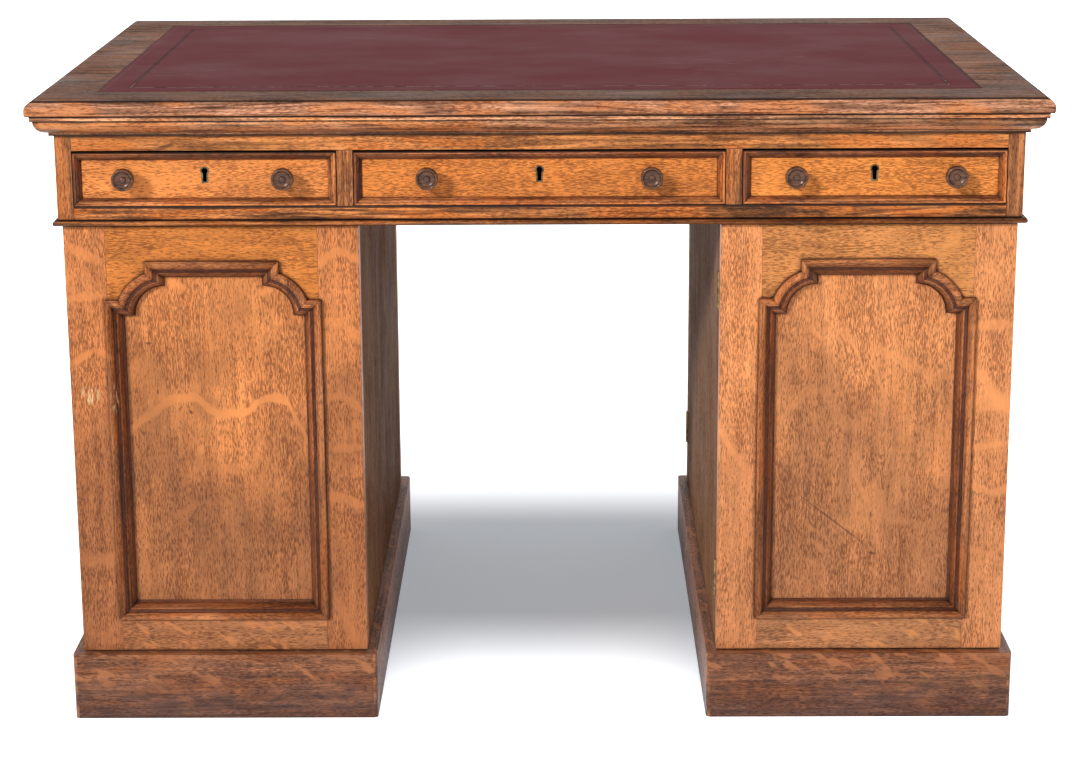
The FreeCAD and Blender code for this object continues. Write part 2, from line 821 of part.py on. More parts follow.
def to_side(shape, facing, towards_door):
    """Turns a +Y hinge shape to the carcase or the door, on the front or the rear of the desk."""
    flips = (facing == REAR) != towards_door
    return shape.mirror(Vector(0, 0, 0), Vector(0, 1, 0)) if flips else shape


def hinge_place(facing, x, foot):
    """Where a hinge's pin stands."""
    return FreeCAD.Placement(Vector(x, facing * hinge_line, foot), FreeCAD.Rotation())


def hinge_pocket(facing, x, foot, towards_door=False):
    """What is cut away for a hinge: the knuckle's round, a leaf's mortise and its screw holes."""
    gap = size.knuckle_clearance
    radius = size.knuckle_diameter / 2 + gap
    round_cut = Part.makeCylinder(radius, size.hinge_height + 2 * gap, Vector(0, 0, -gap))
    face = size.door_joint_gap / 2
    mortise = Part.makeBox(size.leaf_width, size.leaf_thickness + face, size.hinge_height)
    pocket = round_cut.fuse([mortise, *leaf_screws()])
    return feature("hinge_pocket", to_side(pocket, facing, towards_door), hinge_place(facing, x, foot))


def make_fixed_leaves():
    """Carcase leaves of all hinges, with their pins and screws."""
    pin_radius = size.hinge_pin_diameter / 2
    ends = range(0, KNUCKLES, 2)
    pieces = []
    for facing in SIDES.values():
        for left, right in PEDESTALS.values():
            for foot in hinge_feet():
                place = hinge_place(facing, left, foot)
                shapes = [leaf_shape(ends, pin_radius), *leaf_screws()]
                pieces += [feature("fixed_leaf", to_side(shape, facing, False), place) for shape in shapes]
                pieces.append(feature("pin", Part.makeCylinder(pin_radius, size.hinge_height), place))
    node("hinge_fixed_leaves", *pieces)


# Doors

def door_ring(inset):
    """Corners of the door moulding's path at a distance inside its outer edge, anticlockwise.

    Plan x is measured from the door's middle and plan y from its foot. The path is straight
    along the bottom and sides, then steps in over a ledge, an arc and a short upright to its
    top; the arcs' middles come with it.
    """
    inset = float(inset)
    half = float(door_half_width - size.moulding_side_inset)
    foot = float(size.moulding_bottom_inset)
    head = float(door_height - size.moulding_top_inset)
    ledge = head - float(size.ledge_drop)
    rise = float(size.ledge_drop - size.step_height)
    radius = float(size.corner_radius)
    arc_foot = half - float(size.ledge_width)
    reach = math.sqrt(radius ** 2 - rise ** 2 / 2) / math.sqrt(2)
    middle_x = arc_foot - rise / 2 - reach
    middle_y = ledge + rise / 2 - reach
    inner_radius = radius - inset
    step_x = arc_foot - rise - inset
    ledge_y = ledge - inset
    arc_start = middle_x + math.sqrt(inner_radius ** 2 - (ledge_y - middle_y) ** 2)
    arc_end = middle_y + math.sqrt(inner_radius ** 2 - (step_x - middle_x) ** 2)
    right_half = [
        Vector(half - inset, foot + inset, 0),
        Vector(half - inset, ledge_y, 0),
        Vector(arc_start, ledge_y, 0),
        Vector(step_x, arc_end, 0),
        Vector(step_x, head - inset, 0),
    ]
    left_half = [Vector(-corner.x, corner.y, 0) for corner in reversed(right_half)]
    arc_middle = Vector(middle_x, middle_y, 0)
    return right_half + left_half, arc_middle


RING_ARCS = (2, 6)


def door_moulding_profile():
    """A bead on the frame, a quirk, and an ovolo down to the panel, with a rebate for the frame."""
    width = size.moulding_width
    rise = size.moulding_rise
    bead = size.moulding_bead_width
    quirk = bead + size.moulding_quirk_width
    foot = width - size.moulding_foot_width
    sink = -size.panel_recess
    half_rise = rise / 2
    drop = half_rise - sink - size.moulding_foot_width
    ovolo_middle = (foot - (foot - quirk) * ROUND_MIDDLE_SHARE, half_rise - drop * ROUND_MIDDLE_SHARE)
    return [
        (size.moulding_lip, 0),
        (0, 0),
        (0, half_rise / 2),
        ((bead / 2, rise), (bead, half_rise)),
        (quirk, half_rise),
        (ovolo_middle, (foot, half_rise - drop)),
        (width, sink),
        (size.moulding_lip, sink),
    ]


def curved_length(profile, start, end, inner_end, inner_start, arc_middle):
    """A moulding turned about a point, cut at both ends along its mitre lines."""
    outwards = (start + end) * 0.5 - arc_middle
    outwards.normalize()
    radius = float(size.corner_radius)
    turned = section(profile, arc_middle + outwards * radius, -outwards)
    turned = turned.revolve(arc_middle, UP, 360)
    crown = arc_middle + outwards * (2 * radius)
    corners = [past(inner_start, start), crown, past(inner_end, end), inner_end, inner_start]
    return turned.common(plan_mask(corners, profile))


def door_moulding_shapes():
    """The mitred lengths round one door's panel."""
    profile = door_moulding_profile()
    outer, arc_middle = door_ring(0)
    inner, _ = door_ring(size.moulding_width)
    lengths = []
    for turn in range(len(outer)):
        following = (turn + 1) % len(outer)
        corners = (outer[turn], outer[following], inner[following], inner[turn])
        if turn in RING_ARCS:
            sign = 1 if outer[turn].x > 0 else -1
            centre = Vector(sign * arc_middle.x, arc_middle.y, 0)
            lengths.append(curved_length(profile, *corners, centre))
        else:
            lengths.append(mitred_length(profile, *corners))
    return lengths


def top_rail_shape():
    """The door's top rail, with its lower edge shaped to the moulding, as a slab below Z = 0."""
    ring, arc_middle = door_ring(size.moulding_lip)
    crest = arc_middle + Vector(1, 1, 0).normalize() * float(size.corner_radius - size.moulding_lip)
    half = float(door_half_width - size.stile_width)
    head = float(door_height)
    ledge = [(corner.x, corner.y) for corner in ring[2:8]]
    steps = [
        (half, head),
        (-half, head),
        (-half, ledge[-1][1]),
        ledge[5],
        ((-crest.x, crest.y), ledge[4]),
        ledge[3],
        ledge[2],
        ledge[1],
        ((crest.x, crest.y), ledge[0]),
        (half, ledge[0][1]),
    ]
    face = outline_face(steps, lambda x, y: Vector(x, y, 0))
    return face.extrude(UP * -float(size.door_thickness))


def make_door(name, facing, left, right):
    """A framed and panelled door with its moulding and the moving halves of its hinges."""
    middle = (left + right) / 2
    door_y = across(facing, door_back, door_face)
    head = door_foot + door_height
    inner_left = left + size.stile_width
    inner_right = right - size.stile_width
    rail_top = door_foot + size.moulding_bottom_inset + size.moulding_lip
    panel_head = head - size.moulding_top_inset - size.moulding_lip + size.panel_head_cover
    panel_face = door_face - size.panel_recess
    groove = size.panel_groove_depth
    panel = board("panel", (inner_left - groove, inner_right + groove),
                  across(facing, panel_face - size.panel_thickness, panel_face),
                  (rail_top - groove, panel_head))
    door_z = (door_foot, head)
    hung_stile = board("hung_stile", (left, inner_left), door_y, door_z)
    free_stile = board("free_stile", (inner_right, right), door_y, door_z)
    bottom_rail = board("door_bottom_rail", (inner_left, inner_right), door_y, (door_foot, rail_top))
    place = on_face(facing, middle, door_face, door_foot)
    top_rail = feature("door_top_rail", top_rail_shape(), place)
    pockets = [hinge_pocket(facing, left, foot, True) for foot in hinge_feet()]
    node(f"{name}_frame", cut(hung_stile, panel, *pockets), cut(free_stile, panel),
         cut(bottom_rail, panel), cut(top_rail, panel))
    node(f"{name}_panel", panel)
    node(f"{name}_moulding", *[feature("door_length", shape, place) for shape in door_moulding_shapes()])
    bore_radius = size.hinge_pin_diameter / 2 + size.hinge_pin_clearance
    leaves = []
    for foot in hinge_feet():
        shapes = [leaf_shape([KNUCKLES // 2], bore_radius), *leaf_screws()]
        leaves += [feature("moving_leaf", to_side(shape, facing, True), hinge_place(facing, left, foot))
                   for shape in shapes]
    node(f"{name}_hinges", *leaves)


# Build every sub-part
make_top()
make_cornice()
make_frieze_ends()
make_frieze_frame()
make_runners()
make_base_moulding()
make_fixed_leaves()
for pedestal, limits in PEDESTALS.items():
    make_pedestal(pedestal, *limits)
    make_plinth(pedestal, *limits)
for side, way in SIDES.items():
    for opening, limits in OPENINGS.items():
        make_drawer(f"{side}_{opening}_drawer", way, *limits)
    for pedestal, limits in PEDESTALS.items():
        make_door(f"{side}_{pedestal}_door", way, *limits)
doc.recompute()

# Check the document, then write each sub-part
for thing in doc.Objects:
    if "Invalid" in thing.State or "Error" in thing.State:
        raise RuntimeError(f"{thing.Label} failed: {thing.State}")
for group in nodes:
    if group.Shape.isNull() or not group.Shape.isValid() or not group.Shape.Solids:
        raise RuntimeError(f"{group.Label} has no valid solid")
os.makedirs("parts", exist_ok=True)
for group in nodes:
    group.Shape.exportStep(f"parts/{group.Label}.step")
print(len(nodes), "sub-parts,", sum(len(group.Shape.Solids) for group in nodes), "solids")
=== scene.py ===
import json
import math
import random

import bmesh
import bpy
from mathutils import Matrix, Vector


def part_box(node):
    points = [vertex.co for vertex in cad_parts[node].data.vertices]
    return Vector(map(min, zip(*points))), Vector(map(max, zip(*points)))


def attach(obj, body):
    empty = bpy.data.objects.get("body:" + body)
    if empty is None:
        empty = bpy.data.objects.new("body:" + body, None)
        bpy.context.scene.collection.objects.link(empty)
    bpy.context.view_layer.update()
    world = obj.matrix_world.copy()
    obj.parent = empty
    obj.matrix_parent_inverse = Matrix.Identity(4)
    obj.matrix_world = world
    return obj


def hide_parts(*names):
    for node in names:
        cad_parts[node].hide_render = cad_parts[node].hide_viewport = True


# The looks of the oak partners desk. Every wooden node is taken apart into its boards, so that each
# board has its own run of grain, its own tone and eased edges. Metres, +Z up, the front looks along -Y.

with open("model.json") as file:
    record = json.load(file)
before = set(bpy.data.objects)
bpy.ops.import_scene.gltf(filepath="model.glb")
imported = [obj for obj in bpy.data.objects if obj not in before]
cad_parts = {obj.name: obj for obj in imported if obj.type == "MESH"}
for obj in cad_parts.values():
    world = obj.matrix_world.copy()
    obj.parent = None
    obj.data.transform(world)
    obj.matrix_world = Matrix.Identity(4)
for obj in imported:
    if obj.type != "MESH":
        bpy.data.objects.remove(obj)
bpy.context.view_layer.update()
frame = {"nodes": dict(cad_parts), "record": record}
nodes = frame["nodes"]
bodies = {node: body for body, members in frame["record"]["behaviour"]["bodies"].items() for node in members}
slots = {row["node"]: row["material_slot"] for row in frame["record"]["subparts"]}

MILLIMETRE = 0.001
AXES = range(3)
X_AXIS, Y_AXIS, Z_AXIS = AXES

# Edges sharper than the first are eased. Faces that meet at less than the second are one flat face, and
# facets between the two belong to one rounded face
SHARP_ANGLE = math.radians(30)
FLAT_ANGLE = math.radians(0.3)
EASE_SEGMENTS = 2

# The most that the two long sides of a mitre's normal differ, and its short side differs from 0
MITRE_SLACK_SHARE = 0.01
# Corners of boards that meet agree to this many decimals of a millimetre
WELD_DECIMALS = 2

# Mean colour of each kind of board
TONES = {
    "top": (0.215, 0.103, 0.063),
    "nose": (0.64, 0.3, 0.17),
    "cornice": (0.98, 0.46, 0.23),
    "frieze_rail": (0.7, 0.26, 0.075),
    "frieze_low_rail": (0.6, 0.215, 0.062),
    "frieze_post": (0.54, 0.2, 0.068),
    "frieze_end": (0.48, 0.18, 0.06),
    "drawer_field": (0.88, 0.285, 0.058),
    "drawer_strip": (0.74, 0.26, 0.08),
    # The head and left strips are darker as a painted shadow of the frame
    "head_strip": (0.42, 0.14, 0.05),
    "left_strip": (0.27, 0.09, 0.04),
    "base_moulding": (0.50, 0.18, 0.055),
    "stile": (0.71, 0.25, 0.08),
    "head_rail": (0.71, 0.235, 0.047),
    "foot_rail": (0.68, 0.255, 0.085),
    "panel": (0.80, 0.29, 0.09),
    "door_moulding": (0.57, 0.205, 0.07),
    "plinth": (0.31, 0.124, 0.058),
    "pedestal": (0.33, 0.175, 0.095),
    "pedestal_side": (0.58, 0.225, 0.085),
    "lining": (0.46, 0.255, 0.125),
}
# The top's edge has the nose's colour up to where its normal points up by this share, and then blends over
NOSE_SHARE = 0.9
NOSE_BLEND_SHARE = 0.09

# What each kind shows: shares of silvery rays, of long dark lines, of painted shade and patina towards the
# floor, and of small golden flakes
FIGURE_SHARES = {
    "stile": (0.9, 0.15, 0.6, 0),
    "panel": (0.6, 0.15, 0.85, 0.1),
    "plinth": (0.2, 0.7, 0, 1),
    "foot_rail": (0.3, 0.3, 0.45, 0.8),
    "drawer_field": (0.5, 0.1, 0, 0.1),
    "head_rail": (0.7, 0.1, 0, 0.1),
    "frieze_rail": (0.2, 1, 0, 0.2),
    "frieze_low_rail": (0.2, 1.5, 0, 0.2),
    "top": (0.1, 1.2, 0, 0.2),
    "cornice": (0.1, 1.3, 0, 0.2),
    "frieze_post": (0.1, 0.9, 0, 0),
    "door_moulding": (0, 0.7, 0.3, 0),
    "pedestal": (0.3, 0.3, 0, 0),
    "pedestal_side": (0.6, 0.3, 0.5, 0.1),
    "lining": (0.2, 0.3, 0, 0),
}
PLAIN_FIGURE_SHARES = (0.1, 1.0, 0, 0.2)

# Mouldings darken in their hollows, partly dirt and partly painted shade: the depth under the crown and the
# share of the tone left there
HOLLOW_DIRT_AND_SHADE_TONE = (0.135, 0.04, 0.018)
DEEPEST = 20 * MILLIMETRE
DOOR_MOULDING_SHARES = (
    (0, 1),
    (2.8 * MILLIMETRE, 0.9),
    (3.8 * MILLIMETRE, 0.5),
    (4.2 * MILLIMETRE, 0),
    (5 * MILLIMETRE, 0),
    # A painted highlight line just inside the quirk
    (5.4 * MILLIMETRE, 0.9),
    (6.2 * MILLIMETRE, 0.42),
    (10 * MILLIMETRE, 0.42),
    (13 * MILLIMETRE, 0.16),
    (DEEPEST, 0),
)
DRAWER_STRIP_SHARES = (
    (0, 1),
    (0.5 * MILLIMETRE, 0.95),
    (1.1 * MILLIMETRE, 0.3),
    (2.2 * MILLIMETRE, 0.4),
    (3 * MILLIMETRE, 0.45),
    (4.6 * MILLIMETRE, 0.1),
    (DEEPEST, 0),
)
SUNK_KINDS = ("door_moulding", "drawer_strip", "head_strip", "left_strip")

# How far the sharp edges are eased
EASES = {
    "top": 0.4 * MILLIMETRE,
    "drawer_field": 0.4 * MILLIMETRE,
    "frieze_rail": 0.9 * MILLIMETRE,
    "frieze_low_rail": 0.9 * MILLIMETRE,
    "frieze_post": 0.9 * MILLIMETRE,
    "stile": 0.5 * MILLIMETRE,
    "head_rail": 0.5 * MILLIMETRE,
    "foot_rail": 0.5 * MILLIMETRE,
    "pedestal": 0.8 * MILLIMETRE,
    "pedestal_side": 0.8 * MILLIMETRE,
    "lining": 0.8 * MILLIMETRE,
    "plinth": 3.2 * MILLIMETRE,
}
STRIP_EASE = 1 * MILLIMETRE
# A plinth's upright corners, and the least rise of the edges along them
PLINTH_CORNER = 5 * MILLIMETRE
PLINTH_CORNER_SEGMENTS = 4
PLINTH_UPRIGHT = 10 * MILLIMETRE
# Points nearer than this to an outline lie on it
CLOSE = 0.1 * MILLIMETRE

# How far a board's tone strays from its kind's, and how far its pattern of grain is moved, in metres
TONE_SPREAD_SHARE = 0.05
GRAIN_SHIFT = 4

# Some boards are paler or darker than their kind
TINT_SHARES = {
    ("front_left_drawer_front", "drawer_field"): (0.94, 0.99, 1.21),
    ("front_centre_drawer_front", "drawer_field"): (0.91, 0.91, 0.91),
    ("front_right_drawer_front", "drawer_field"): (1.04, 1.09, 1.09),
    ("front_right_door_frame", "stile"): (1.17, 1.28, 1.45),
    ("front_right_door_frame", "head_rail"): (1.03, 1.23, 1.8),
    ("front_right_door_frame", "foot_rail"): (0.96, 1.08, 1.26),
    ("front_right_door_panel", "panel"): (0.96, 1.03, 1.18),
    ("front_left_door_frame", "stile"): (0.98, 0.98, 0.98),
    ("front_left_door_frame", "head_rail"): (0.92, 0.92, 0.93),
    ("front_left_door_frame", "foot_rail"): (0.92, 0.96, 1.05),
}
NO_TINT_SHARES = (1, 1, 1)

# The left door gets more painted shade and patina towards the floor than the right one
SHADE_AND_PATINA_SHARES = {
    "front_left_door_frame": 1.25,
    "front_left_door_panel": 1.17,
    "front_right_door_frame": 0.85,
    "front_right_door_panel": 0.85,
}

# How boards are told apart: narrower ones on a drawer front are its moulding, frieze rails and door rails
# lie over or under a height, a pedestal's outer side lies far out, and grain stands upright in a tall one
STRIP_BREADTH = 0.03
FRIEZE_MIDDLE = 0.69
DOOR_MIDDLE = 0.3
OUTER_SIDE = 0.5
TALL_BOARD = 0.3


# Boards

def shells(mesh):
    """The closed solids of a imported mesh, in its own order, each as its points and faces."""
    places = {}
    index = [places.setdefault(tuple(vertex.co), len(places)) for vertex in mesh.vertices]
    points = list(places)
    found = []
    faces = []
    open_sides = set()
    for polygon in mesh.polygons:
        corners = [index[vertex] for vertex in polygon.vertices]
        faces.append(corners)
        for start, end in zip(corners, corners[1:] + corners[:1]):
            if (end, start) in open_sides:
                open_sides.remove((end, start))
            else:
                open_sides.add((start, end))
        if not open_sides:
            found.append((points, faces))
            faces = []
    return found


def solid(points, faces):
    """One board as an editable mesh whose coplanar triangles are joined."""
    mesh = bmesh.new()
    used = sorted({corner for face in faces for corner in face})
    made = {corner: mesh.verts.new(points[corner]) for corner in used}
    for face in faces:
        mesh.faces.new([made[corner] for corner in face])
    bmesh.ops.dissolve_limit(mesh, angle_limit=FLAT_ANGLE, verts=mesh.verts, edges=mesh.edges)
    mesh.normal_update()
    return mesh


def corners_of(mesh):
    """Lowest and highest corner of an editable mesh."""
    sides = list(zip(*(vertex.co for vertex in mesh.verts)))
    return Vector(map(min, sides)), Vector(map(max, sides))


def is_mitre(normal):
    """True for the cut end of a mitred length, which lies at 45 degrees to two axes."""
    short, middle, long = sorted(abs(side) for side in normal)
    return short < MITRE_SLACK_SHARE and long - middle < MITRE_SLACK_SHARE


def ring(boards):
    """Mitred boards joined into one ring, so that its corners can be rounded."""
    joined = bmesh.new()
    made = {}
    for board in boards:
        for face in board.faces:
            if is_mitre(face.normal):
                continue
            corners = []
            for vertex in face.verts:
                key = tuple(round(side / MILLIMETRE, WELD_DECIMALS) for side in vertex.co)
                if key not in made:
                    made[key] = joined.verts.new(vertex.co)
                corners.append(made[key])
            joined.faces.new(corners)
        board.free()
    joined.normal_update()
    return joined


def round_faces(mesh):
    """Marks the facets of rounded faces as smooth."""
    for face in mesh.faces:
        face.smooth = False
    for edge in mesh.edges:
        if len(edge.link_faces) == 2 and FLAT_ANGLE < edge.calc_face_angle() < SHARP_ANGLE:
            for face in edge.link_faces:
                face.smooth = True


def sharp_edges(mesh):
    """Edges that stand out, other than those of mitres."""
    return [
        edge for edge in mesh.edges
        if len(edge.link_faces) == 2 and edge.is_convex and edge.calc_face_angle() > SHARP_ANGLE
        and not any(is_mitre(face.normal) for face in edge.link_faces)
    ]


def ease(mesh, edges, width, segments, worn):
    """Rounds some edges, and marks the new faces as worn."""
    made = bmesh.ops.bevel(mesh, geom=edges, offset=width, offset_type="OFFSET", segments=segments,
                           profile=0.5, affect="EDGES", clamp_overlap=True)
    for face in made["faces"]:
        face.smooth = True
        face[worn] = 1.0
    mesh.normal_update()


def family(node, low, high):
    """The kind of board, from its node and its box."""
    extent = high - low
    if node == "top_boards":
        return "top"
    if node == "cornice_moulding":
        return "cornice"
    if node == "frieze_base_moulding":
        return "base_moulding"
    if node == "frieze_ends":
        return "frieze_end" if extent.y > extent.z else "frieze_post"
    if node == "frieze_dividers":
        return "frieze_post"
    if node == "frieze_rails":
        return "frieze_rail" if low.z > FRIEZE_MIDDLE else "frieze_low_rail"
    if node.endswith("_drawer_front"):
        return "drawer_field" if min(extent.x, extent.z) > STRIP_BREADTH else strip_kind(node, low, high)
    if node.endswith("_door_frame"):
        if extent.z > extent.x:
            return "stile"
        return "head_rail" if low.z > DOOR_MIDDLE else "foot_rail"
    if node.endswith("_door_panel"):
        return "panel"
    if node.endswith("_door_moulding"):
        return "door_moulding"
    if node.endswith("_plinth"):
        return "plinth"
    if node.endswith("_pedestal_carcase"):
        return "pedestal_side" if abs(low.x + high.x) / 2 > OUTER_SIDE else "pedestal"
    return "lining"


def strip_kind(node, low, high):
    """The kind of a drawer's moulding strip: the head and left strips are painted darker as the frame's
    shadow.
    """
    start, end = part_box(node)
    from_middle = low + high - start - end
    if high.z - low.z > high.x - low.x:
        return "left_strip" if from_middle.x < 0 else "drawer_strip"
    return "head_strip" if from_middle.z > 0 else "drawer_strip"


def outer_edges(board, node):
    """The sharp front edges of a drawer's moulding strip along the drawer's outline."""
    low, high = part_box(node)
    front = max(abs(vertex.co.y) for vertex in board.verts)

    def on_outline(vertex):
        spot = vertex.co
        to_sides = (spot.x - low.x, high.x - spot.x, spot.z - low.z, high.z - spot.z)
        return min(to_sides) < CLOSE and front - abs(spot.y) < CLOSE

    return [edge for edge in sharp_edges(board) if all(map(on_outline, edge.verts))]


def grain_axis(kind, low, high):
    """The axis that a board's grain follows: its length, or upright on the pedestals' wide sides."""
    extent = high - low
    if kind.startswith("pedestal") and extent.z > TALL_BOARD:
        return Z_AXIS
    return max(AXES, key=lambda axis: extent[axis])


def ring_side(face, low, high):
    """Which board of a ring a face belongs to, as the axis of its length and its side."""
    middle = (low + high) / 2
    offset = face.calc_center_median() - middle
    from_edge = (high - low) / 2 - Vector(map(abs, offset))
    if from_edge.y < from_edge.x:
        return X_AXIS, offset.y > 0
    return Y_AXIS, offset.x > 0


def corner_tone(kind, vertex):
    """A board's colour at one of its corners; the top's upper side is darker than its edge."""
    tone = Vector(TONES[kind])
    if kind != "top":
        return tone
    level = max(min((vertex.normal.z - NOSE_SHARE) / NOSE_BLEND_SHARE, 1), 0)
    return Vector(TONES["nose"]).lerp(tone, level)


def new_object(name, data):
    """A new object in the scene."""
    thing = bpy.data.objects.new(name, data)
    bpy.context.scene.collection.objects.link(thing)
    return thing


class Stack:
    """Boards gathered into one piece, with what their material reads at each corner."""

    def __init__(self, node):
        self.node = node
        self.luck = random.Random(node)
        self.points = []
        self.faces = []
        self.smooth = []
        self.worn = []
        self.grain = []
        self.tone = []
        self.figure = []
        self.sunk = []

    def add(self, board, kind, side_of, worn):
        """Takes in a board. side_of gives a face's run of grain, as an axis and a name for the run."""
        first = len(self.points)
        board.verts.index_update()
        self.points += [vertex.co[:] for vertex in board.verts]
        crown = max(abs(vertex.co.y) for vertex in board.verts)
        share = 1 + self.luck.uniform(-TONE_SPREAD_SHARE, TONE_SPREAD_SHARE)
        tint = Vector(TINT_SHARES.get((self.node, kind), NO_TINT_SHARES)) * share
        rays, lines, shade_and_patina, golden = FIGURE_SHARES.get(kind, PLAIN_FIGURE_SHARES)
        runs = sorted({side_of(face) for face in board.faces})
        shifts = {run: [self.luck.uniform(-GRAIN_SHIFT, GRAIN_SHIFT) for _ in AXES] for run in runs}
        for face in board.faces:
            run = side_of(face)
            shift = shifts[run]
            along = run[0]
            order = [along] + [axis for axis in AXES if axis != along]
            self.faces.append([first + vertex.index for vertex in face.verts])
            self.smooth.append(face.smooth)
            self.worn.append(face[worn])
            for vertex in face.verts:
                self.grain += [vertex.co[axis] + shift[place] for place, axis in enumerate(order)]
                self.tone += [*(corner_tone(kind, vertex) * tint), 1]
                self.figure += [rays, lines, shade_and_patina * SHADE_AND_PATINA_SHARES.get(self.node, 1), golden]
                self.sunk.append(crown - abs(vertex.co.y) if kind in SUNK_KINDS else 0)
        board.free()

    def piece(self, material):
        """Stands the boards in place of their node."""
        mesh = bpy.data.meshes.new(f"{self.node}_boards")
        mesh.from_pydata(self.points, [], self.faces)
        mesh.polygons.foreach_set("use_smooth", self.smooth)
        for name, kind, domain, field, values in (
            ("grain", "FLOAT_VECTOR", "CORNER", "vector", self.grain),
            ("tone", "FLOAT_COLOR", "CORNER", "color", self.tone),
            ("figure", "FLOAT_COLOR", "CORNER", "color", self.figure),
            ("sunk", "FLOAT", "CORNER", "value", self.sunk),
            ("worn", "FLOAT", "FACE", "value", self.worn),
        ):
            mesh.attributes.new(name, kind, domain).data.foreach_set(field, values)
        mesh.materials.append(material)
        stand_for(new_object(mesh.name, mesh), self.node)


def stand_for(thing, node):
    """Puts a new piece in place of a node of the frame."""
    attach(thing, bodies[node])
    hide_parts(node)


def dress(node, material):
    """Makes a wooden node anew from separate boards with eased edges."""
    stack = Stack(node)
    ring_boards = []
    for board_points, board_faces in shells(nodes[node].data):
        board = solid(board_points, board_faces)
        low, high = corners_of(board)
        kind = family(node, low, high)
        if kind == "plinth" and any(is_mitre(face.normal) for face in board.faces):
            ring_boards.append(board)
            continue
        worn = board.faces.layers.float.new("worn")
        round_faces(board)
        if kind in EASES:
            ease(board, sharp_edges(board), EASES[kind], EASE_SEGMENTS, worn)
        elif kind.endswith("_strip"):
            ease(board, outer_edges(board, node), STRIP_EASE, EASE_SEGMENTS, worn)
        along = grain_axis(kind, low, high)
        stack.add(board, kind, lambda face: (along, True), worn)
    if ring_boards:
        plinth = ring(ring_boards)
        low, high = corners_of(plinth)
        worn = plinth.faces.layers.float.new("worn")
        upright = [
            edge for edge in sharp_edges(plinth)
            if abs((edge.verts[0].co - edge.verts[1].co).z) > PLINTH_UPRIGHT
        ]
        ease(plinth, upright, PLINTH_CORNER, PLINTH_CORNER_SEGMENTS, worn)
        ease(plinth, sharp_edges(plinth), EASES["plinth"], EASE_SEGMENTS, worn)
        stack.add(plinth, "plinth", lambda face: ring_side(face, low, high), worn)
    stack.piece(material)


# The pale band across the left door's panel, from left to right
LEFT_PANEL_RAY = {
    "left": -0.508,
    "right": -0.285,
    "low": 0.34,
    "high": 0.44,
    "half_width": 8 * MILLIMETRE,
    "rise_shares": (
        (0, 0.3),
        (0.12, 0.52),
        (0.33, 0.75),
        (0.5, 0.55),
        (0.61, 0.54),
        (0.817, 0.75),
        (0.92, 0.48),
        (1, 0.05),
    ),
}

# Painted shadow lines, with some grime in the grooves, lie level under and over the mouldings and along the
# drawers: the height and half width
CORNICE_FILLET = 6 * MILLIMETRE
NOSE_DROP = 1.4 * MILLIMETRE
DRAWER_SHADOW = 0.9 * MILLIMETRE
FINE_LINE = 1.2 * MILLIMETRE
DIRT_AND_SHADOW_LINE = 1.9 * MILLIMETRE
BROAD_LINE = 2.5 * MILLIMETRE
top_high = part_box("top_boards")[1].z
cornice_low, cornice_high = (corner.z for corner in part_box("cornice_moulding"))
base_low, base_high = (corner.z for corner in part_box("frieze_base_moulding"))
drawer_low, drawer_high = (corner.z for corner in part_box("front_left_drawer_front"))
FRIEZE_LINES = ((cornice_low, DIRT_AND_SHADOW_LINE), (base_high, FINE_LINE), (base_low, FINE_LINE))
DRAWER_LINES = ((drawer_high, DIRT_AND_SHADOW_LINE), (drawer_low - DRAWER_SHADOW, BROAD_LINE))
CORNICE_LINES = (
    (cornice_high, DIRT_AND_SHADOW_LINE),
    (cornice_high - CORNICE_FILLET, FINE_LINE),
    (cornice_low, BROAD_LINE),
)
TOP_LINES = ((top_high - NOSE_DROP, FINE_LINE), (cornice_high, DIRT_AND_SHADOW_LINE))

# Oval marks on the front's doors and rails: the place of the middle across and up, the half width and half
# height, and the turn in degrees. Streaks are pale, scrapes bare and scratches dark
FRONT_FACE = -0.35
MARK_DEPTH = 0.03
MARK_CORE_SHARE = 0.4
STREAKS = (
    (0.385, 0.475, 0.0032, 0.062, 23),
    (0.409, 0.460, 0.0032, 0.07, 13),
    (0.362, 0.436, 0.003, 0.038, 19),
    (0.395, 0.300, 0.006, 0.05, 24),
    (0.549, 0.506, 0.04, 0.01, 4),
    (0.549, 0.409, 0.04, 0.019, 4),
    (0.549, 0.352, 0.04, 0.007, 10),
    (-0.448, 0.560, 0.034, 0.009, -25),
    (-0.440, 0.270, 0.034, 0.008, 30),
    (-0.552, 0.598, 0.034, 0.01, -28),
    (-0.552, 0.545, 0.034, 0.008, 4),
    (-0.560, 0.469, 0.026, 0.007, 32),
    (-0.532, 0.473, 0.018, 0.007, -20),
    (-0.238, 0.352, 0.034, 0.008, 5),
    (-0.335, 0.549, 0.02, 0.008, 20),
    (0.335, 0.244, 0.018, 0.005, -35),
    (0.346, 0.220, 0.02, 0.005, -38),
    (0.338, 0.198, 0.018, 0.005, -30),
    (0.417, 0.185, 0.016, 0.005, -55),
)
SCRAPES = (
    (-0.553, 0.421, 0.016, 0.016, 0),
    (-0.521, 0.418, 0.005, 0.024, 0),
)
SCRATCHES = (
    (0.363, 0.253, 0.09, 0.0018, -38),
    (0.413, 0.210, 0.009, 0.0026, -10),
    (0.452, 0.224, 0.0026, 0.0026, 0),
    (0.410, 0.260, 0.0018, 0.007, 0),
    (-0.480, 0.484, 0.006, 0.0026, 0),
    (-0.471, 0.422, 0.0026, 0.006, 0),
    (-0.431, 0.396, 0.006, 0.003, -40),
    (-0.520, 0.535, 0.012, 0.0036, -42),
    (-0.447, 0.731, 0.017, 0.003, 14),
)


# Materials

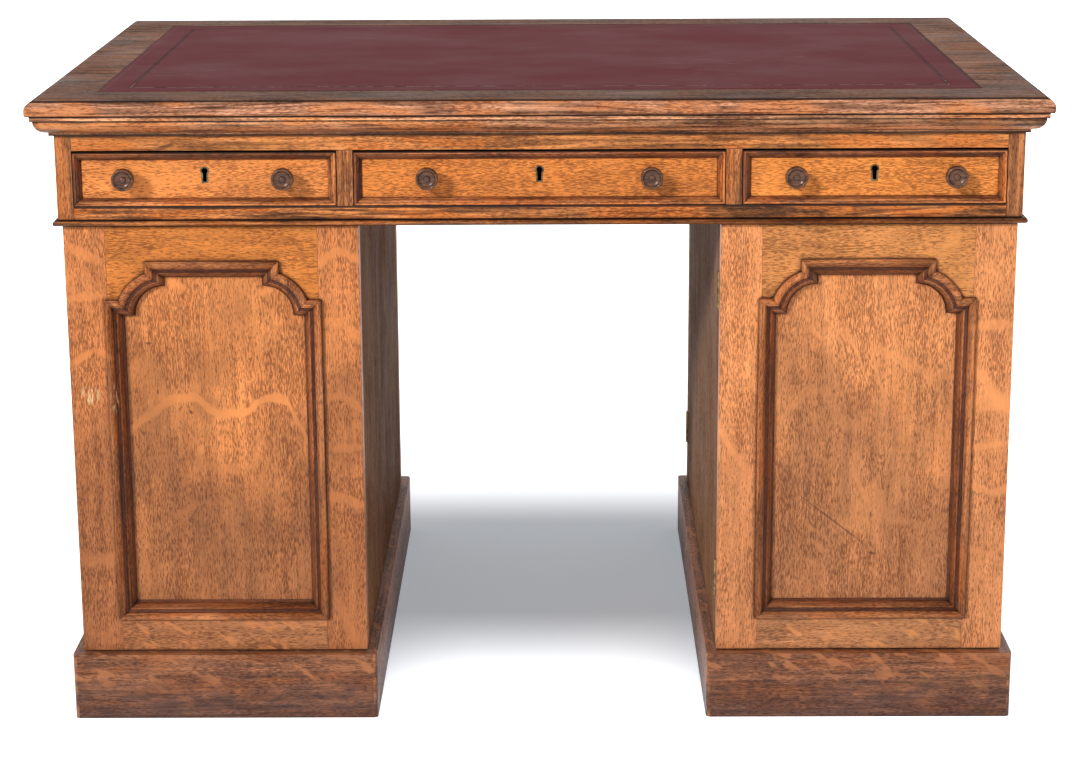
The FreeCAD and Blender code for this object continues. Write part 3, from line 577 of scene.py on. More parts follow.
# Noise patterns: the scale per metre on each axis (on oak, the grain's length first), detail, roughness
NOISES = {
    "wander": ((3, 9, 9), 2, 0.5),
    "streak": ((5, 75, 75), 4, 0.6),
    "growth": ((2.5, 110, 110), 1, 0.5),
    "blotch": ((7, 11, 11), 3, 0.55),
    "mottle": ((34, 70, 70), 3, 0.6),
    "thin_out": ((9, 18, 18), 2, 0.5),
    "fleck": ((150, 950, 950), 2, 0.5),
    "fibre": ((45, 520, 520), 3, 0.65),
    "line": ((11, 360, 360), 3, 0.6),
    "coarse": ((7, 170, 170), 2, 0.5),
    "warm": ((9, 45, 45), 2, 0.5),
    "rub": ((40, 40, 40), 3, 0.5),
    "bare": ((480, 120, 90), 3, 0.5),
    "ray_wave": ((4, 8, 8), 1, 0.5),
    "ray_patch": ((9, 6, 6), 1, 0.5),
    "ray_ragged": ((60, 60, 60), 3, 0.5),
    "drawn_ragged": ((70, 70, 70), 3, 0.5),
    "flake": ((17, 65, 65), 2, 0.5),
    "hide_cloud": ((6, 9, 9), 4, 0.6),
    "hide_streak": ((5, 45, 45), 3, 0.6),
    "hide_scratch": ((22, 420, 420), 2, 0.5),
    "hide_patch": ((4, 7, 7), 2, 0.5),
    "gilt": ((60, 90, 90), 3, 0.65),
    "knob_vein": ((90, 18, 420), 4, 0.6),
    "knob_cloud": ((60, 60, 60), 3, 0.5),
    "brass_cloud": ((140, 140, 140), 5, 0.65),
    "brass_speck": ((900, 900, 900), 2, 0.5),
}

# Ramps: the two values between which each one runs, and what it gives at them if not 0 and 1
RAMPS = {
    "crowd": (0.3, 0.7, -0.03, 0.03),
    "thin_out": (0.35, 0.65, -0.05, 0.045),
    "pores": (0.46, 0.62),
    "line": (0.5, 0.66),
    "coarse": (0.35, 0.65, 0.52, 1.28),
    "streak": (0.3, 0.7, 0.92, 1.1),
    "blotch": (0.3, 0.7, 0.91, 1.09),
    "mottle": (0.3, 0.7, 0.91, 1.1),
    "fibre": (0.3, 0.7, 0.9, 1.12),
    "warm": (0.5, 0.62),
    "bright": (0.3, 0.7, 0.94, 1.06),
    "flake": (0.57, 0.66),
    "flake_height": (0.015, 0.06),
    # Painted shade and patina towards the floor
    "shade_and_patina_stray": (0.3, 0.7, -0.09, 0.09),
    "shade_and_patina_height": (0.56, 0.2),
    "soil_stray": (0.3, 0.7, -0.02, 0.02),
    "soil_height": (0, 0.085),
    # Grime and painted shade in corners and seams
    "grime_and_shade": (0.6, 0.15),
    "seam_shade": (0.8, 0.52),
    "rub": (0.45, 0.62),
    "bare": (0.5, 0.58),
    "wax_roughness": (0.3, 0.7, 0.4, 0.5),
    "ray_patch": (0.44, 0.66),
    "ray_ragged": (0.3, 0.7, -0.025, 0.025),
    "ray_edge": (0.1, 0.03),
    "drawn_ragged": (0.3, 0.7, -2 * MILLIMETRE, 2 * MILLIMETRE),
    "hide_cloud": (0.3, 0.7),
    "hide_streak": (0.5, 0.75),
    "hide_scratch": (0.66, 0.74),
    "hide_patch": (0.52, 0.68),
    "hide_rim": (7 * MILLIMETRE, 1 * MILLIMETRE),
    "hide_roughness": (0.3, 0.7, 0.5, 0.64),
    "tooled": (3.4 * MILLIMETRE, 2.2 * MILLIMETRE),
    "gilt_line": (1.3 * MILLIMETRE, 0.7 * MILLIMETRE),
    "gilt_kept": (0.44, 0.56),
    "knob_vein": (0.35, 0.65),
    "knob_wear": (0.5, 0.75),
    "knob_roughness": (0.3, 0.7, 0.24, 0.3),
    "brass_cloud": (0.35, 0.65),
    "brass_roughness": (0.3, 0.7, 0.55, 0.36),
    "deep": (0.8, 0.3),
}

# Colours that are laid over others, and their shares
LAYERS = {
    # The next two darken corners and seams: grime together with painted shade
    "grime_and_shade": ((0.075, 0.027, 0.015), 0.35),
    "seam_shade": ((0.03, 0.012, 0.008), 0.9),
    "rub": ((0.52, 0.25, 0.12), 0.45),
    # Painted shadow lines, with some grime
    "dirt_and_shadow_line": ((0.016, 0.006, 0.004), 0.92),
    "scratch": ((0.06, 0.025, 0.018), 0.7),
    "hide_streak": ((0.18, 0.07, 0.07), 0.1),
    "hide_scratch": ((0.42, 0.26, 0.21), 0.6),
    "tooled": ((0.035, 0.012, 0.014), 0.65),
    "gilt": ((0.62, 0.48, 0.38), 0.65),
    "hide_rim": ((0.05, 0.016, 0.015), 0.5),
    "knob_wear": ((0.18, 0.085, 0.045), 0.3),
}
HOLLOW_SAMPLES = 6


class Graph:
    """The node tree of a material or the world. A value is a number, a tuple or another node's output."""

    def __init__(self, owner):
        owner.use_nodes = True
        self.tree = owner.node_tree
        self.tree.nodes.clear()

    def add(self, kind, inputs=None, **settings):
        node = self.tree.nodes.new(f"ShaderNode{kind}")
        for key, value in settings.items():
            setattr(node, key, value)
        for key, value in (inputs or {}).items():
            self.put(value, node.inputs[key])
        return node

    def put(self, value, socket):
        if isinstance(value, bpy.types.NodeSocket):
            self.tree.links.new(value, socket)
        elif socket.type == "RGBA":
            socket.default_value = (*value[:3], 1)
        else:
            socket.default_value = value

    def attribute(self, name, output):
        return self.add("Attribute", attribute_name=name).outputs[output]

    def place(self):
        return self.add("TexCoord").outputs["Object"]

    def sides(self, vector):
        return self.add("SeparateXYZ", {0: vector}).outputs

    def math(self, operation, first, second=0.0):
        return self.add("Math", {0: first, 1: second}, operation=operation).outputs[0]

    def product(self, *factors):
        result = factors[0]
        for factor in factors[1:]:
            result = self.math("MULTIPLY", result, factor)
        return result

    def apart(self, first, second):
        """How far two values lie apart."""
        return self.math("ABSOLUTE", self.math("SUBTRACT", first, second))

    def vector(self, operation, first, second=(0, 0, 0)):
        return self.add("VectorMath", {0: first, 1: second}, operation=operation).outputs[0]

    def scale(self, vector, factor):
        return self.add("VectorMath", {0: vector, "Scale": factor}, operation="SCALE").outputs[0]

    def noise(self, place, name):
        scales, detail, roughness = NOISES[name]
        spread = self.vector("MULTIPLY", place, scales)
        inputs = {"Vector": spread, "Scale": 1.0, "Detail": detail, "Roughness": roughness}
        return self.add("TexNoise", inputs).outputs["Fac"]

    def ramp(self, value, low, high, start=0.0, end=1.0):
        inputs = {"Value": value, "From Min": low, "From Max": high, "To Min": start, "To Max": end}
        return self.add("MapRange", inputs, interpolation_type="SMOOTHSTEP").outputs["Result"]

    def shape(self, value, name):
        """A value put through one of the RAMPS."""
        return self.ramp(value, *RAMPS[name])

    def mix(self, share, first, second, blend="MIX"):
        inputs = {0: share, 6: first, 7: second}
        return self.add("Mix", inputs, data_type="RGBA", blend_type=blend).outputs[2]

    def lay(self, name, mask, under, strength_share=1.0):
        """Lays the colour of one of the LAYERS over another colour, where a mask says so."""
        colour, share = LAYERS[name]
        return self.mix(self.product(mask, share * strength_share), under, colour)

    def hollow(self, reach):
        """1 in the open, and less where other surfaces are within reach."""
        return self.add("AmbientOcclusion", {"Distance": reach}, samples=HOLLOW_SAMPLES).outputs["AO"]

    def curve(self, value, points, handle="AUTO"):
        node = self.add("FloatCurve", {"Value": value})
        line = node.mapping.curves[0]
        line.points[0].location = points[0]
        line.points[-1].location = points[-1]
        for point in points[1:-1]:
            line.points.new(*point)
        for point in line.points:
            point.handle_type = handle
        node.mapping.update()
        return node.outputs[0]

    def mark(self, place, across, up, half_width, half_height, turn):
        """1 in the core of an oval on the front, falling to 0 at its edge."""
        offset = self.vector("SUBTRACT", place, (across, FRONT_FACE, up))
        inputs = {"Vector": offset, "Angle": math.radians(turn)}
        turned = self.add("VectorRotate", inputs, rotation_type="Y_AXIS").outputs[0]
        half_sizes = (half_width, MARK_DEPTH, half_height)
        spread = self.vector("MULTIPLY", turned, tuple(1 / size for size in half_sizes))
        distance = self.add("VectorMath", {0: spread}, operation="LENGTH").outputs["Value"]
        return self.ramp(distance, 1, MARK_CORE_SHARE)

    def inward(self, place, node):
        """How far a spot lies inside a node's outline as seen from above."""
        low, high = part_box(node)
        middle = (low + high) / 2
        half = (high - low) / 2
        offset = self.vector("ABSOLUTE", self.vector("SUBTRACT", place, middle[:]))
        reach = self.sides(self.vector("SUBTRACT", half[:], offset))
        return self.math("MINIMUM", reach["X"], reach["Y"])

    def bump(self, height, distance, strength=1.0):
        inputs = {"Height": height, "Distance": distance, "Strength": strength}
        return self.add("Bump", inputs).outputs["Normal"]

    def surface(self, **inputs):
        named = {key.replace("_", " "): value for key, value in inputs.items()}
        shader = self.add("BsdfPrincipled", named)
        out = self.add("OutputMaterial")
        self.put(shader.outputs[0], out.inputs["Surface"])


def new_material(name):
    material = bpy.data.materials.new(name)
    return material, Graph(material)


# Rays: how many to a metre, by how many spacings they wave, and how much of a drawn one is wholly pale
RAYS_PER_METRE = 8.5
RAY_WAVE_SHARE = 2.6
RAY_CORE_SHARE = 0.4
# How far flakes lean from the grain
FLAKE_SLANT_SHARE = 0.45
# The middle of a noise or a fraction
MIDDLE_SHARE = 0.5


def scattered_rays(graph, grain):
    """Pale bands that wave across the grain, here and there."""
    along = graph.sides(grain)["X"]
    wave = graph.product(graph.noise(grain, "ray_wave"), RAY_WAVE_SHARE)
    level = graph.math("ADD", graph.product(along, RAYS_PER_METRE), wave)
    ripple = graph.apart(graph.math("FRACT", level), MIDDLE_SHARE)
    present = graph.shape(graph.noise(grain, "ray_patch"), "ray_patch")
    ragged = graph.math("ADD", ripple, graph.shape(graph.noise(grain, "ray_ragged"), "ray_ragged"))
    return graph.product(graph.shape(ragged, "ray_edge"), present)


def flakes(graph, grain):
    """Short golden flakes that lie aslant to the grain."""
    along, across, through = graph.sides(grain)[:]
    slope = graph.product(along, FLAKE_SLANT_SHARE)
    aslant = graph.add("CombineXYZ", {
        "X": along,
        "Y": graph.math("ADD", across, slope),
        "Z": graph.math("ADD", through, slope),
    }).outputs[0]
    return graph.shape(graph.noise(aslant, "flake"), "flake")


def drawn_ray(graph, place, ray):
    """One pale band that follows a line drawn across a panel."""
    spot = graph.sides(place)
    across = graph.add("MapRange", {"Value": spot["X"], "From Min": ray["left"], "From Max": ray["right"]})
    rise = graph.curve(across.outputs["Result"], ray["rise_shares"])
    line = graph.add("MapRange", {"Value": rise, "To Min": ray["low"], "To Max": ray["high"]})
    ragged = graph.math("ADD", spot["Z"], graph.shape(graph.noise(place, "drawn_ragged"), "drawn_ragged"))
    distance = graph.apart(ragged, line.outputs["Result"])
    return graph.ramp(distance, ray["half_width"], ray["half_width"] * RAY_CORE_SHARE)


# What the oak's own tone is multiplied by in its layers
PORE_TINT_SHARES = (0.36, 0.3, 0.3)
WARM_TINT_SHARES = (1.15, 0.93, 0.66)
RAY_TINT_SHARES = (1.14, 1.13, 1.08)
FLAKE_TINT_SHARES = (1.45, 1.35, 1.15)
# Painted shade and patina towards the floor
SHADE_AND_PATINA_TINT_SHARES = (0.46, 0.47, 0.56)
SOIL_TINT_SHARES = (0.42, 0.46, 0.66)

# How strongly each layer shows
PORE_SHARE = 0.85
LINE_SHARE = 0.85
WARM_SHARE = 0.8
RAY_SHARE = 0.8
FLAKE_SHARE = 0.8
DRAWN_RAY_SHARE = 0.92
STREAK_SHARE = 0.7

# Scraped wood, how far the grain wanders and the grime with painted shade in corners reaches, and the relief
# and roughness of the pores
BARE_WOOD = (0.8, 0.5, 0.26)
GRAIN_WANDER = 14 * MILLIMETRE
GRIME_AND_SHADE_REACH = 12 * MILLIMETRE
SEAM_SHADE_REACH = 6 * MILLIMETRE
SHADOW_LINE_CORE_SHARE = 0.5
PORE_DEPTH = 0.2 * MILLIMETRE
OAK_RELIEF_SHARE = 0.45
STREAK_RELIEF_SHARE = 0.35
PORE_ROUGHNESS_SHARE = 0.14


def oak(name, specular, ray=None, hollow_shares=None, dirt_and_shadow_lines=FRIEZE_LINES, grime_and_shade_share=1.0,
        marked=False):
    """Waxed golden oak: dark pores along the grain, pale wavy rays across it, grime and painted shade in the
    corners.
    """
    streaks, scrapes, scratches = (STREAKS, SCRAPES, SCRATCHES) if marked else ((), (), ())
    material, graph = new_material(name)
    grain = graph.attribute("grain", "Vector")
    tone = graph.attribute("tone", "Color")
    ray_share, line_share, shade_and_patina_share = graph.sides(graph.attribute("figure", "Vector"))[:]
    flake_share = graph.attribute("figure", "Alpha")
    worn = graph.attribute("worn", "Fac")
    place = graph.place()
    height = graph.sides(place)["Z"]
    # Painted shade and some dirt in the mouldings' hollows
    if hollow_shares:
        steps = [(depth / DEEPEST, share) for depth, share in hollow_shares]
        sunk = graph.math("DIVIDE", graph.attribute("sunk", "Fac"), DEEPEST)
        tone = graph.mix(graph.curve(sunk, steps, "VECTOR"), HOLLOW_DIRT_AND_SHADE_TONE, tone)

    # The grain wanders a few millimetres from side to side
    off_line = graph.math("SUBTRACT", graph.noise(grain, "wander"), MIDDLE_SHARE)
    wander = graph.product(off_line, GRAIN_WANDER)
    sideways = graph.add("CombineXYZ", {"Y": wander, "Z": wander}).outputs[0]
    bent = graph.vector("ADD", grain, sideways)

    streak = graph.noise(bent, "streak")
    blotch = graph.noise(grain, "blotch")
    mottle = graph.noise(grain, "mottle")
    crowd = graph.shape(graph.noise(bent, "growth"), "crowd")
    thin_out = graph.shape(graph.noise(grain, "thin_out"), "thin_out")
    fleck = graph.math("ADD", graph.noise(bent, "fleck"), graph.math("ADD", crowd, thin_out))
    pores = graph.shape(fleck, "pores")
    line = graph.shape(graph.noise(bent, "line"), "line")

    coarse = graph.shape(graph.noise(bent, "coarse"), "coarse")
    shade = graph.product(
        graph.add("Mix", {0: line_share, 2: 1.0, 3: coarse}, clamp_factor=False).outputs[0],
        graph.shape(streak, "streak"),
        graph.shape(blotch, "blotch"),
        graph.shape(mottle, "mottle"),
        graph.shape(graph.noise(bent, "fibre"), "fibre"),
    )
    warm = graph.product(graph.shape(graph.noise(bent, "warm"), "warm"), line_share, WARM_SHARE)
    warmed = graph.vector("MULTIPLY", tone, WARM_TINT_SHARES)
    shaded = graph.mix(warm, graph.scale(tone, shade), warmed)
    dark_pores = graph.vector("MULTIPLY", shaded, PORE_TINT_SHARES)
    wood = graph.mix(graph.product(pores, PORE_SHARE), shaded, dark_pores)
    lined = graph.vector("MULTIPLY", wood, PORE_TINT_SHARES)
    wood = graph.mix(graph.product(line, line_share, LINE_SHARE), wood, lined)

    bright = graph.shape(blotch, "bright")
    pale = graph.vector("MULTIPLY", graph.scale(tone, bright), RAY_TINT_SHARES)
    wood = graph.mix(graph.product(scattered_rays(graph, grain), ray_share, RAY_SHARE), wood, pale)
    golden = graph.vector("MULTIPLY", tone, FLAKE_TINT_SHARES)
    clean = graph.shape(height, "flake_height")
    wood = graph.mix(graph.product(flakes(graph, grain), flake_share, clean, FLAKE_SHARE), wood, golden)
    if ray:
        wood = graph.mix(graph.product(drawn_ray(graph, place, ray), DRAWN_RAY_SHARE), wood, pale)
    for mark in streaks:
        wood = graph.mix(graph.product(graph.mark(place, *mark), STREAK_SHARE), wood, pale)

    # The lower parts darken with painted shade and patina, and grime and painted shade sit where boards meet
    shade_and_patina_level = graph.math("ADD", height, graph.shape(blotch, "shade_and_patina_stray"))
    shade_and_patina = graph.product(graph.shape(shade_and_patina_level, "shade_and_patina_height"), shade_and_patina_share)
    wood = graph.mix(shade_and_patina, wood, graph.vector("MULTIPLY", wood, SHADE_AND_PATINA_TINT_SHARES))
    soil_level = graph.math("ADD", height, graph.shape(mottle, "soil_stray"))
    soiled = graph.mix(graph.shape(soil_level, "soil_height"), SOIL_TINT_SHARES, NO_TINT_SHARES)
    wood = graph.mix(1.0, wood, soiled, "MULTIPLY")
    wood = graph.lay("grime_and_shade", graph.shape(graph.hollow(GRIME_AND_SHADE_REACH), "grime_and_shade"), wood, grime_and_shade_share)
    wood = graph.lay("seam_shade", graph.shape(graph.hollow(SEAM_SHADE_REACH), "seam_shade"), wood, grime_and_shade_share)
    rub = graph.product(worn, graph.shape(graph.noise(grain, "rub"), "rub"))
    wood = graph.lay("rub", rub, wood)
    # Painted shadow lines, with some grime, at given heights
    for level, half_width in dirt_and_shadow_lines:
        distance = graph.apart(height, level)
        near = graph.ramp(distance, half_width, half_width * SHADOW_LINE_CORE_SHARE)
        wood = graph.lay("dirt_and_shadow_line", near, wood)
    for mark in scrapes:
        bare = graph.shape(graph.noise(place, "bare"), "bare")
        wood = graph.mix(graph.product(graph.mark(place, *mark), bare), wood, BARE_WOOD)
    for mark in scratches:
        wood = graph.lay("scratch", graph.mark(place, *mark), wood)

    relief = graph.math("SUBTRACT", graph.product(streak, STREAK_RELIEF_SHARE), pores)
    pore_roughness = graph.product(pores, PORE_ROUGHNESS_SHARE)
    graph.surface(
        Base_Color=wood,
        Roughness=graph.math("ADD", graph.shape(blotch, "wax_roughness"), pore_roughness),
        Normal=graph.bump(relief, PORE_DEPTH, OAK_RELIEF_SHARE),
        Specular_IOR_Level=specular,
    )
    return material


# The hide. The tooled line lies a border's width from the edge, and is gilt near the front alone
HIDE = (0.136, 0.0275, 0.0315)
PALE_HIDE = (0.146, 0.03, 0.035)
PEBBLES_PER_METRE = 700
SCRATCH_SHIFT = (3, 7, 1)
TOOLED_BORDER = 35 * MILLIMETRE
GILT_DEPTH = 0.12
HIDE_DEPTH = 0.3 * MILLIMETRE
HIDE_RELIEF_SHARE = 0.45
PEBBLE_RELIEF_SHARE = 0.5
TOOLED_RELIEF_SHARE = 1.2
HIDE_SPECULAR = 0.025


def leather():
    """Dark red hide: fine pebbled grain, a tooled border with worn gilding, pale rubs and scratches."""
    material, graph = new_material("red_hide")
    place = graph.place()
    edge = graph.inward(place, "leather_skiver")
    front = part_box("leather_skiver")[0].y

    pebble = graph.add("TexVoronoi", {"Vector": place, "Scale": PEBBLES_PER_METRE}).outputs["Distance"]
    cloud = graph.noise(place, "hide_cloud")
    hide = graph.mix(graph.shape(cloud, "hide_cloud"), HIDE, PALE_HIDE)
    hide = graph.lay("hide_streak", graph.shape(graph.noise(place, "hide_streak"), "hide_streak"), hide)
    scratch = graph.noise(graph.vector("ADD", place, SCRATCH_SHIFT), "hide_scratch")
    patch = graph.shape(graph.noise(place, "hide_patch"), "hide_patch")
    marks = graph.product(graph.shape(scratch, "hide_scratch"), patch)
    hide = graph.lay("hide_scratch", marks, hide)

    band = graph.apart(edge, TOOLED_BORDER)
    tooled = graph.shape(band, "tooled")
    kept = graph.shape(graph.noise(place, "gilt"), "gilt_kept")
    near_front = graph.ramp(graph.sides(place)["Y"], front + GILT_DEPTH, front)
    gilt = graph.product(graph.shape(band, "gilt_line"), kept, near_front)
    hide = graph.lay("tooled", tooled, hide)
    hide = graph.lay("gilt", gilt, hide)
    hide = graph.lay("hide_rim", graph.shape(edge, "hide_rim"), hide)

    pebbled = graph.product(pebble, PEBBLE_RELIEF_SHARE)
    relief = graph.math("SUBTRACT", pebbled, graph.product(tooled, TOOLED_RELIEF_SHARE))
    graph.surface(
        Base_Color=hide,
        Roughness=graph.shape(cloud, "hide_roughness"),
        Normal=graph.bump(relief, HIDE_DEPTH, HIDE_RELIEF_SHARE),
        Specular_IOR_Level=HIDE_SPECULAR,
    )
    return material


# The knobs' wood, and the painted shade in its hollows
KNOB_DARK = (0.045, 0.014, 0.005)
KNOB_BRIGHT = (0.16, 0.06, 0.024)
KNOB_HOLLOW_SHADE = (0.02, 0.011, 0.008)
KNOB_SHADE_REACH = 5 * MILLIMETRE
KNOB_DEPTH = 0.1 * MILLIMETRE
KNOB_RELIEF_SHARE = 0.2
KNOB_SPECULAR = 0.35


def polished_knob():
    """Dark turned wood under a hard polish, with painted shade in its hollows."""
    material, graph = new_material("polished_dark_wood")
    place = graph.place()
    vein = graph.noise(place, "knob_vein")
    cloud = graph.noise(place, "knob_cloud")
    wood = graph.mix(graph.shape(vein, "knob_vein"), KNOB_DARK, KNOB_BRIGHT)
    wood = graph.lay("knob_wear", graph.shape(cloud, "knob_wear"), wood)
    # Painted shade in the hollows
    wood = graph.mix(graph.shape(graph.hollow(KNOB_SHADE_REACH), "deep"), wood, KNOB_HOLLOW_SHADE)
    graph.surface(
        Base_Color=wood,
        Roughness=graph.shape(cloud, "knob_roughness"),
        Normal=graph.bump(vein, KNOB_DEPTH, KNOB_RELIEF_SHARE),
        Specular_IOR_Level=KNOB_SPECULAR,
    )
    return material


# Dark and bright brass of the hinges and the locks
HINGE_BRASS = ((0.09, 0.055, 0.026), (0.32, 0.21, 0.09))
LOCK_BRASS = ((0.05, 0.037, 0.022), (0.17, 0.13, 0.08))
BRASS_HOLLOW = (0.02, 0.012, 0.007)
BRASS_HOLLOW_REACH = 4 * MILLIMETRE
BRASS_DEPTH = 0.05 * MILLIMETRE
BRASS_RELIEF_SHARE = 0.3

# Painted shade: a keyhole's brass is black from behind the lock's rim inwards, and for how far
KEYHOLE_SHADE = (0.002, 0.001, 0.001)
LOCK_RIM = 0.2 * MILLIMETRE
LOCK_SHADE = 0.3 * MILLIMETRE
KEYHOLE_DEPTH = 9 * MILLIMETRE


def aged_brass(name, dark, bright, shade_from=None):
    """Brass gone brown, bright where it is rubbed, and painted black as shade in a keyhole, from a given
    depth inwards.
    """
    material, graph = new_material(name)
    place = graph.place()
    cloud = graph.noise(place, "brass_cloud")
    metal = graph.mix(graph.shape(cloud, "brass_cloud"), dark, bright)
    metal = graph.mix(graph.shape(graph.hollow(BRASS_HOLLOW_REACH), "deep"), metal, BRASS_HOLLOW)
    # Painted shade: black inside the keyhole
    if shade_from:
        out = graph.math("ABSOLUTE", graph.sides(place)["Y"])
        shade_to = shade_from - KEYHOLE_DEPTH
        keyhole_shade = graph.product(
            graph.ramp(out, shade_from, shade_from - LOCK_SHADE),
            graph.ramp(out, shade_to - LOCK_SHADE, shade_to),
        )
        metal = graph.mix(keyhole_shade, metal, KEYHOLE_SHADE)
    graph.surface(
        Base_Color=metal,
        Metallic=1.0,
        Roughness=graph.shape(cloud, "brass_roughness"),
        Normal=graph.bump(graph.noise(place, "brass_speck"), BRASS_DEPTH, BRASS_RELIEF_SHARE),
    )
    return material


# The leather sheet's cells, how far it dips, and its waves in radians per metre, across and deep
LEATHER_CELL = 10 * MILLIMETRE
LEATHER_DIP = 0.12 * MILLIMETRE
LEATHER_WAVES = ((31, 9), (-7, 43))


def make_leather(material):
    """The hide laid in the top's recess: a thin sheet that lies not quite flat, trimmed along its edge."""
    low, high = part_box("leather_skiver")
    columns, rows = (round((end - start) / LEATHER_CELL) for start, end in zip(low[:2], high[:2]))
    sheet = bmesh.new()
    grid = []
    for row in range(rows + 1):
        y = low.y + (high.y - low.y) * row / rows
        line = []
        for column in range(columns + 1):
            x = low.x + (high.x - low.x) * column / columns
            inner = 0 < row < rows and 0 < column < columns
            waves = (math.sin(x * across + y * deep) for across, deep in LEATHER_WAVES)
            dip = math.prod(waves) - 1
            line.append(sheet.verts.new((x, y, high.z + (LEATHER_DIP * dip if inner else 0))))
        grid.append(line)
    for front, back in zip(grid, grid[1:]):
        for corner in range(columns):
            face = sheet.faces.new((front[corner], front[corner + 1], back[corner + 1], back[corner]))
            face.smooth = True
    right = [line[-1] for line in grid[1:-1]]
    left = [line[0] for line in grid[1:-1]]
    rim = grid[0] + right + grid[-1][::-1] + left[::-1]
    foot = [sheet.verts.new((vertex.co.x, vertex.co.y, low.z)) for vertex in rim]
    for turn, vertex in enumerate(rim):
        sheet.faces.new((rim[turn - 1], foot[turn - 1], foot[turn], vertex))
    sheet.faces.new(foot[::-1])
    mesh = bpy.data.meshes.new("leather_sheet")
    sheet.to_mesh(mesh)
    sheet.free()
    mesh.materials.append(material)
    thing = new_object("leather_sheet", mesh)
    stand_for(thing, "leather_skiver")


def coat(thing, material):
    """Gives a node that keeps its shape its material."""
    thing.data.materials.clear()
    thing.data.materials.append(material)


# How much the oak shines
WAX_SPECULAR = 0.22
RAIL_SPECULAR = 0.2
CORNICE_SPECULAR = 0.15
TOP_SPECULAR = 0.04
BARE_SPECULAR = 0.001
# How much of the grime and painted shade in corners the plinth keeps
PLINTH_GRIME_AND_SHADE_SHARE = 0.3

waxed = oak("waxed_oak", WAX_SPECULAR)
dry = oak("dry_oak", BARE_SPECULAR)
door_oak = oak("door_oak", WAX_SPECULAR, marked=True)
FINISHES = {
    "top_boards": oak("handled_oak", TOP_SPECULAR, dirt_and_shadow_lines=TOP_LINES),
    "cornice_moulding": oak("cornice_oak", CORNICE_SPECULAR, dirt_and_shadow_lines=CORNICE_LINES),
    "frieze_rails": oak("rail_oak", RAIL_SPECULAR, dirt_and_shadow_lines=FRIEZE_LINES + DRAWER_LINES, marked=True),
    "front_left_door_frame": door_oak,
    "front_right_door_frame": door_oak,
    "front_left_door_panel": oak("rayed_oak", WAX_SPECULAR, LEFT_PANEL_RAY, marked=True),
    "front_right_door_panel": door_oak,
    "left_pedestal_carcase": dry,
    "right_pedestal_carcase": dry,
}
ENDINGS = {
    "_plinth": oak("footed_oak", WAX_SPECULAR, grime_and_shade_share=PLINTH_GRIME_AND_SHADE_SHARE),
    "_door_moulding": oak("moulded_oak", RAIL_SPECULAR, hollow_shares=DOOR_MOULDING_SHARES, marked=True),
    "_drawer_front": oak("framed_oak", WAX_SPECULAR, hollow_shares=DRAWER_STRIP_SHARES,
                         dirt_and_shadow_lines=DRAWER_LINES),
}
lock_front = abs(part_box("front_left_drawer_lock")[0].y)
hinge_brass = aged_brass("aged_brass", *HINGE_BRASS)
lock_brass = aged_brass("lock_brass", *LOCK_BRASS, lock_front - LOCK_RIM)
knob_wood = polished_knob()
make_leather(leather())
for node, thing in nodes.items():
    if node == "leather_skiver":
        continue
    if slots[node] == "knob_wood":
        coat(thing, knob_wood)
    elif slots[node] == "brass":
        coat(thing, lock_brass if node.endswith("_lock") else hinge_brass)
    else:
        by_ending = (finish for ending, finish in ENDINGS.items() if node.endswith(ending))
        dress(node, FINISHES.get(node) or next(by_ending, waxed))


# Studio

# The lamps: strength, and in degrees the azimuth, elevation and softness
LAMPS = {
    "key": (2.3, -38, 27, 10),
    "fill": (0.5, 25, 30, 50),
    "back_light": (0.6, 160, 8, 60),
    "floor_light": (5.5, 0, 75, 30),
}
# Pieces that the back light would veil
NOT_BACK_LIT = (
    "top_boards_boards",
    "leather_sheet",
    "left_pedestal_carcase_boards",
    "right_pedestal_carcase_boards",
)
WORLD_STRENGTH = 0.27

# The floor's half size, how strongly it glows where it is seen, and that glow's colour
FLOOR_REACH = 40
FLOOR_LIFT = 0.315
FLOOR_GLOW = (0.8, 0.91, 1)
# The floor's colour where it is seen, and for other rays
PALE_FLOOR = (0.9, 0.9, 0.92)
MATT_FLOOR = (0.33, 0.33, 0.33)

# The camera's place, turns in degrees, lens in millimetres, shift as a share of the picture, and reach
CAMERA_PLACE = (0.019, -3.1871, 1.2454)
CAMERA_YAW = -0.369
CAMERA_PITCH = 13.328
CAMERA_ROLL = -0.279
CAMERA_LENS = 80.27
CAMERA_SHIFT_SHARE = 0.10
CAMERA_CLIP = 200


def lamp(name, strength, azimuth, elevation, softness):
    """A distant soft light; azimuth is measured from the front towards the right."""
    light = bpy.data.lights.new(name, "SUN")
    light.energy = strength
    light.angle = math.radians(softness)
    thing = new_object(name, light)
    turn = math.radians(azimuth)
    lift = math.radians(elevation)
    back = Vector((math.sin(turn) * math.cos(lift), -math.cos(turn) * math.cos(lift), math.sin(lift)))
    thing.rotation_euler = (-back).to_track_quat("-Z", "Y").to_euler()
    return thing


def light_only(source, things, link):
    """Lets a lamp light some things alone (INCLUDE) or everything but them (EXCLUDE)."""
    group = bpy.data.collections.new(f"{source.name}_{link.lower()}")
    for thing in things:
        group.objects.link(thing)
    for row in group.collection_objects:
        row.light_linking.link_state = link
    source.light_linking.receiver_collection = group


def seen_directly(graph):
    """1 for rays that show the background, in the picture or in a reflection."""
    path = graph.add("LightPath")
    mirrored = graph.math("MAXIMUM", path.outputs["Is Glossy Ray"], path.outputs["Is Transmission Ray"])
    return graph.math("MAXIMUM", path.outputs["Is Camera Ray"], mirrored)


def make_world(strength):
    """White where it is seen, and a soft even light elsewhere."""
    world = bpy.data.worlds.new("studio")
    bpy.context.scene.world = world
    graph = Graph(world)
    level = graph.ramp(seen_directly(graph), 0, 1, strength, 1.0)
    light = graph.add("Background", {"Color": (1, 1, 1), "Strength": level})
    graph.put(light.outputs[0], graph.add("OutputWorld").inputs["Surface"])


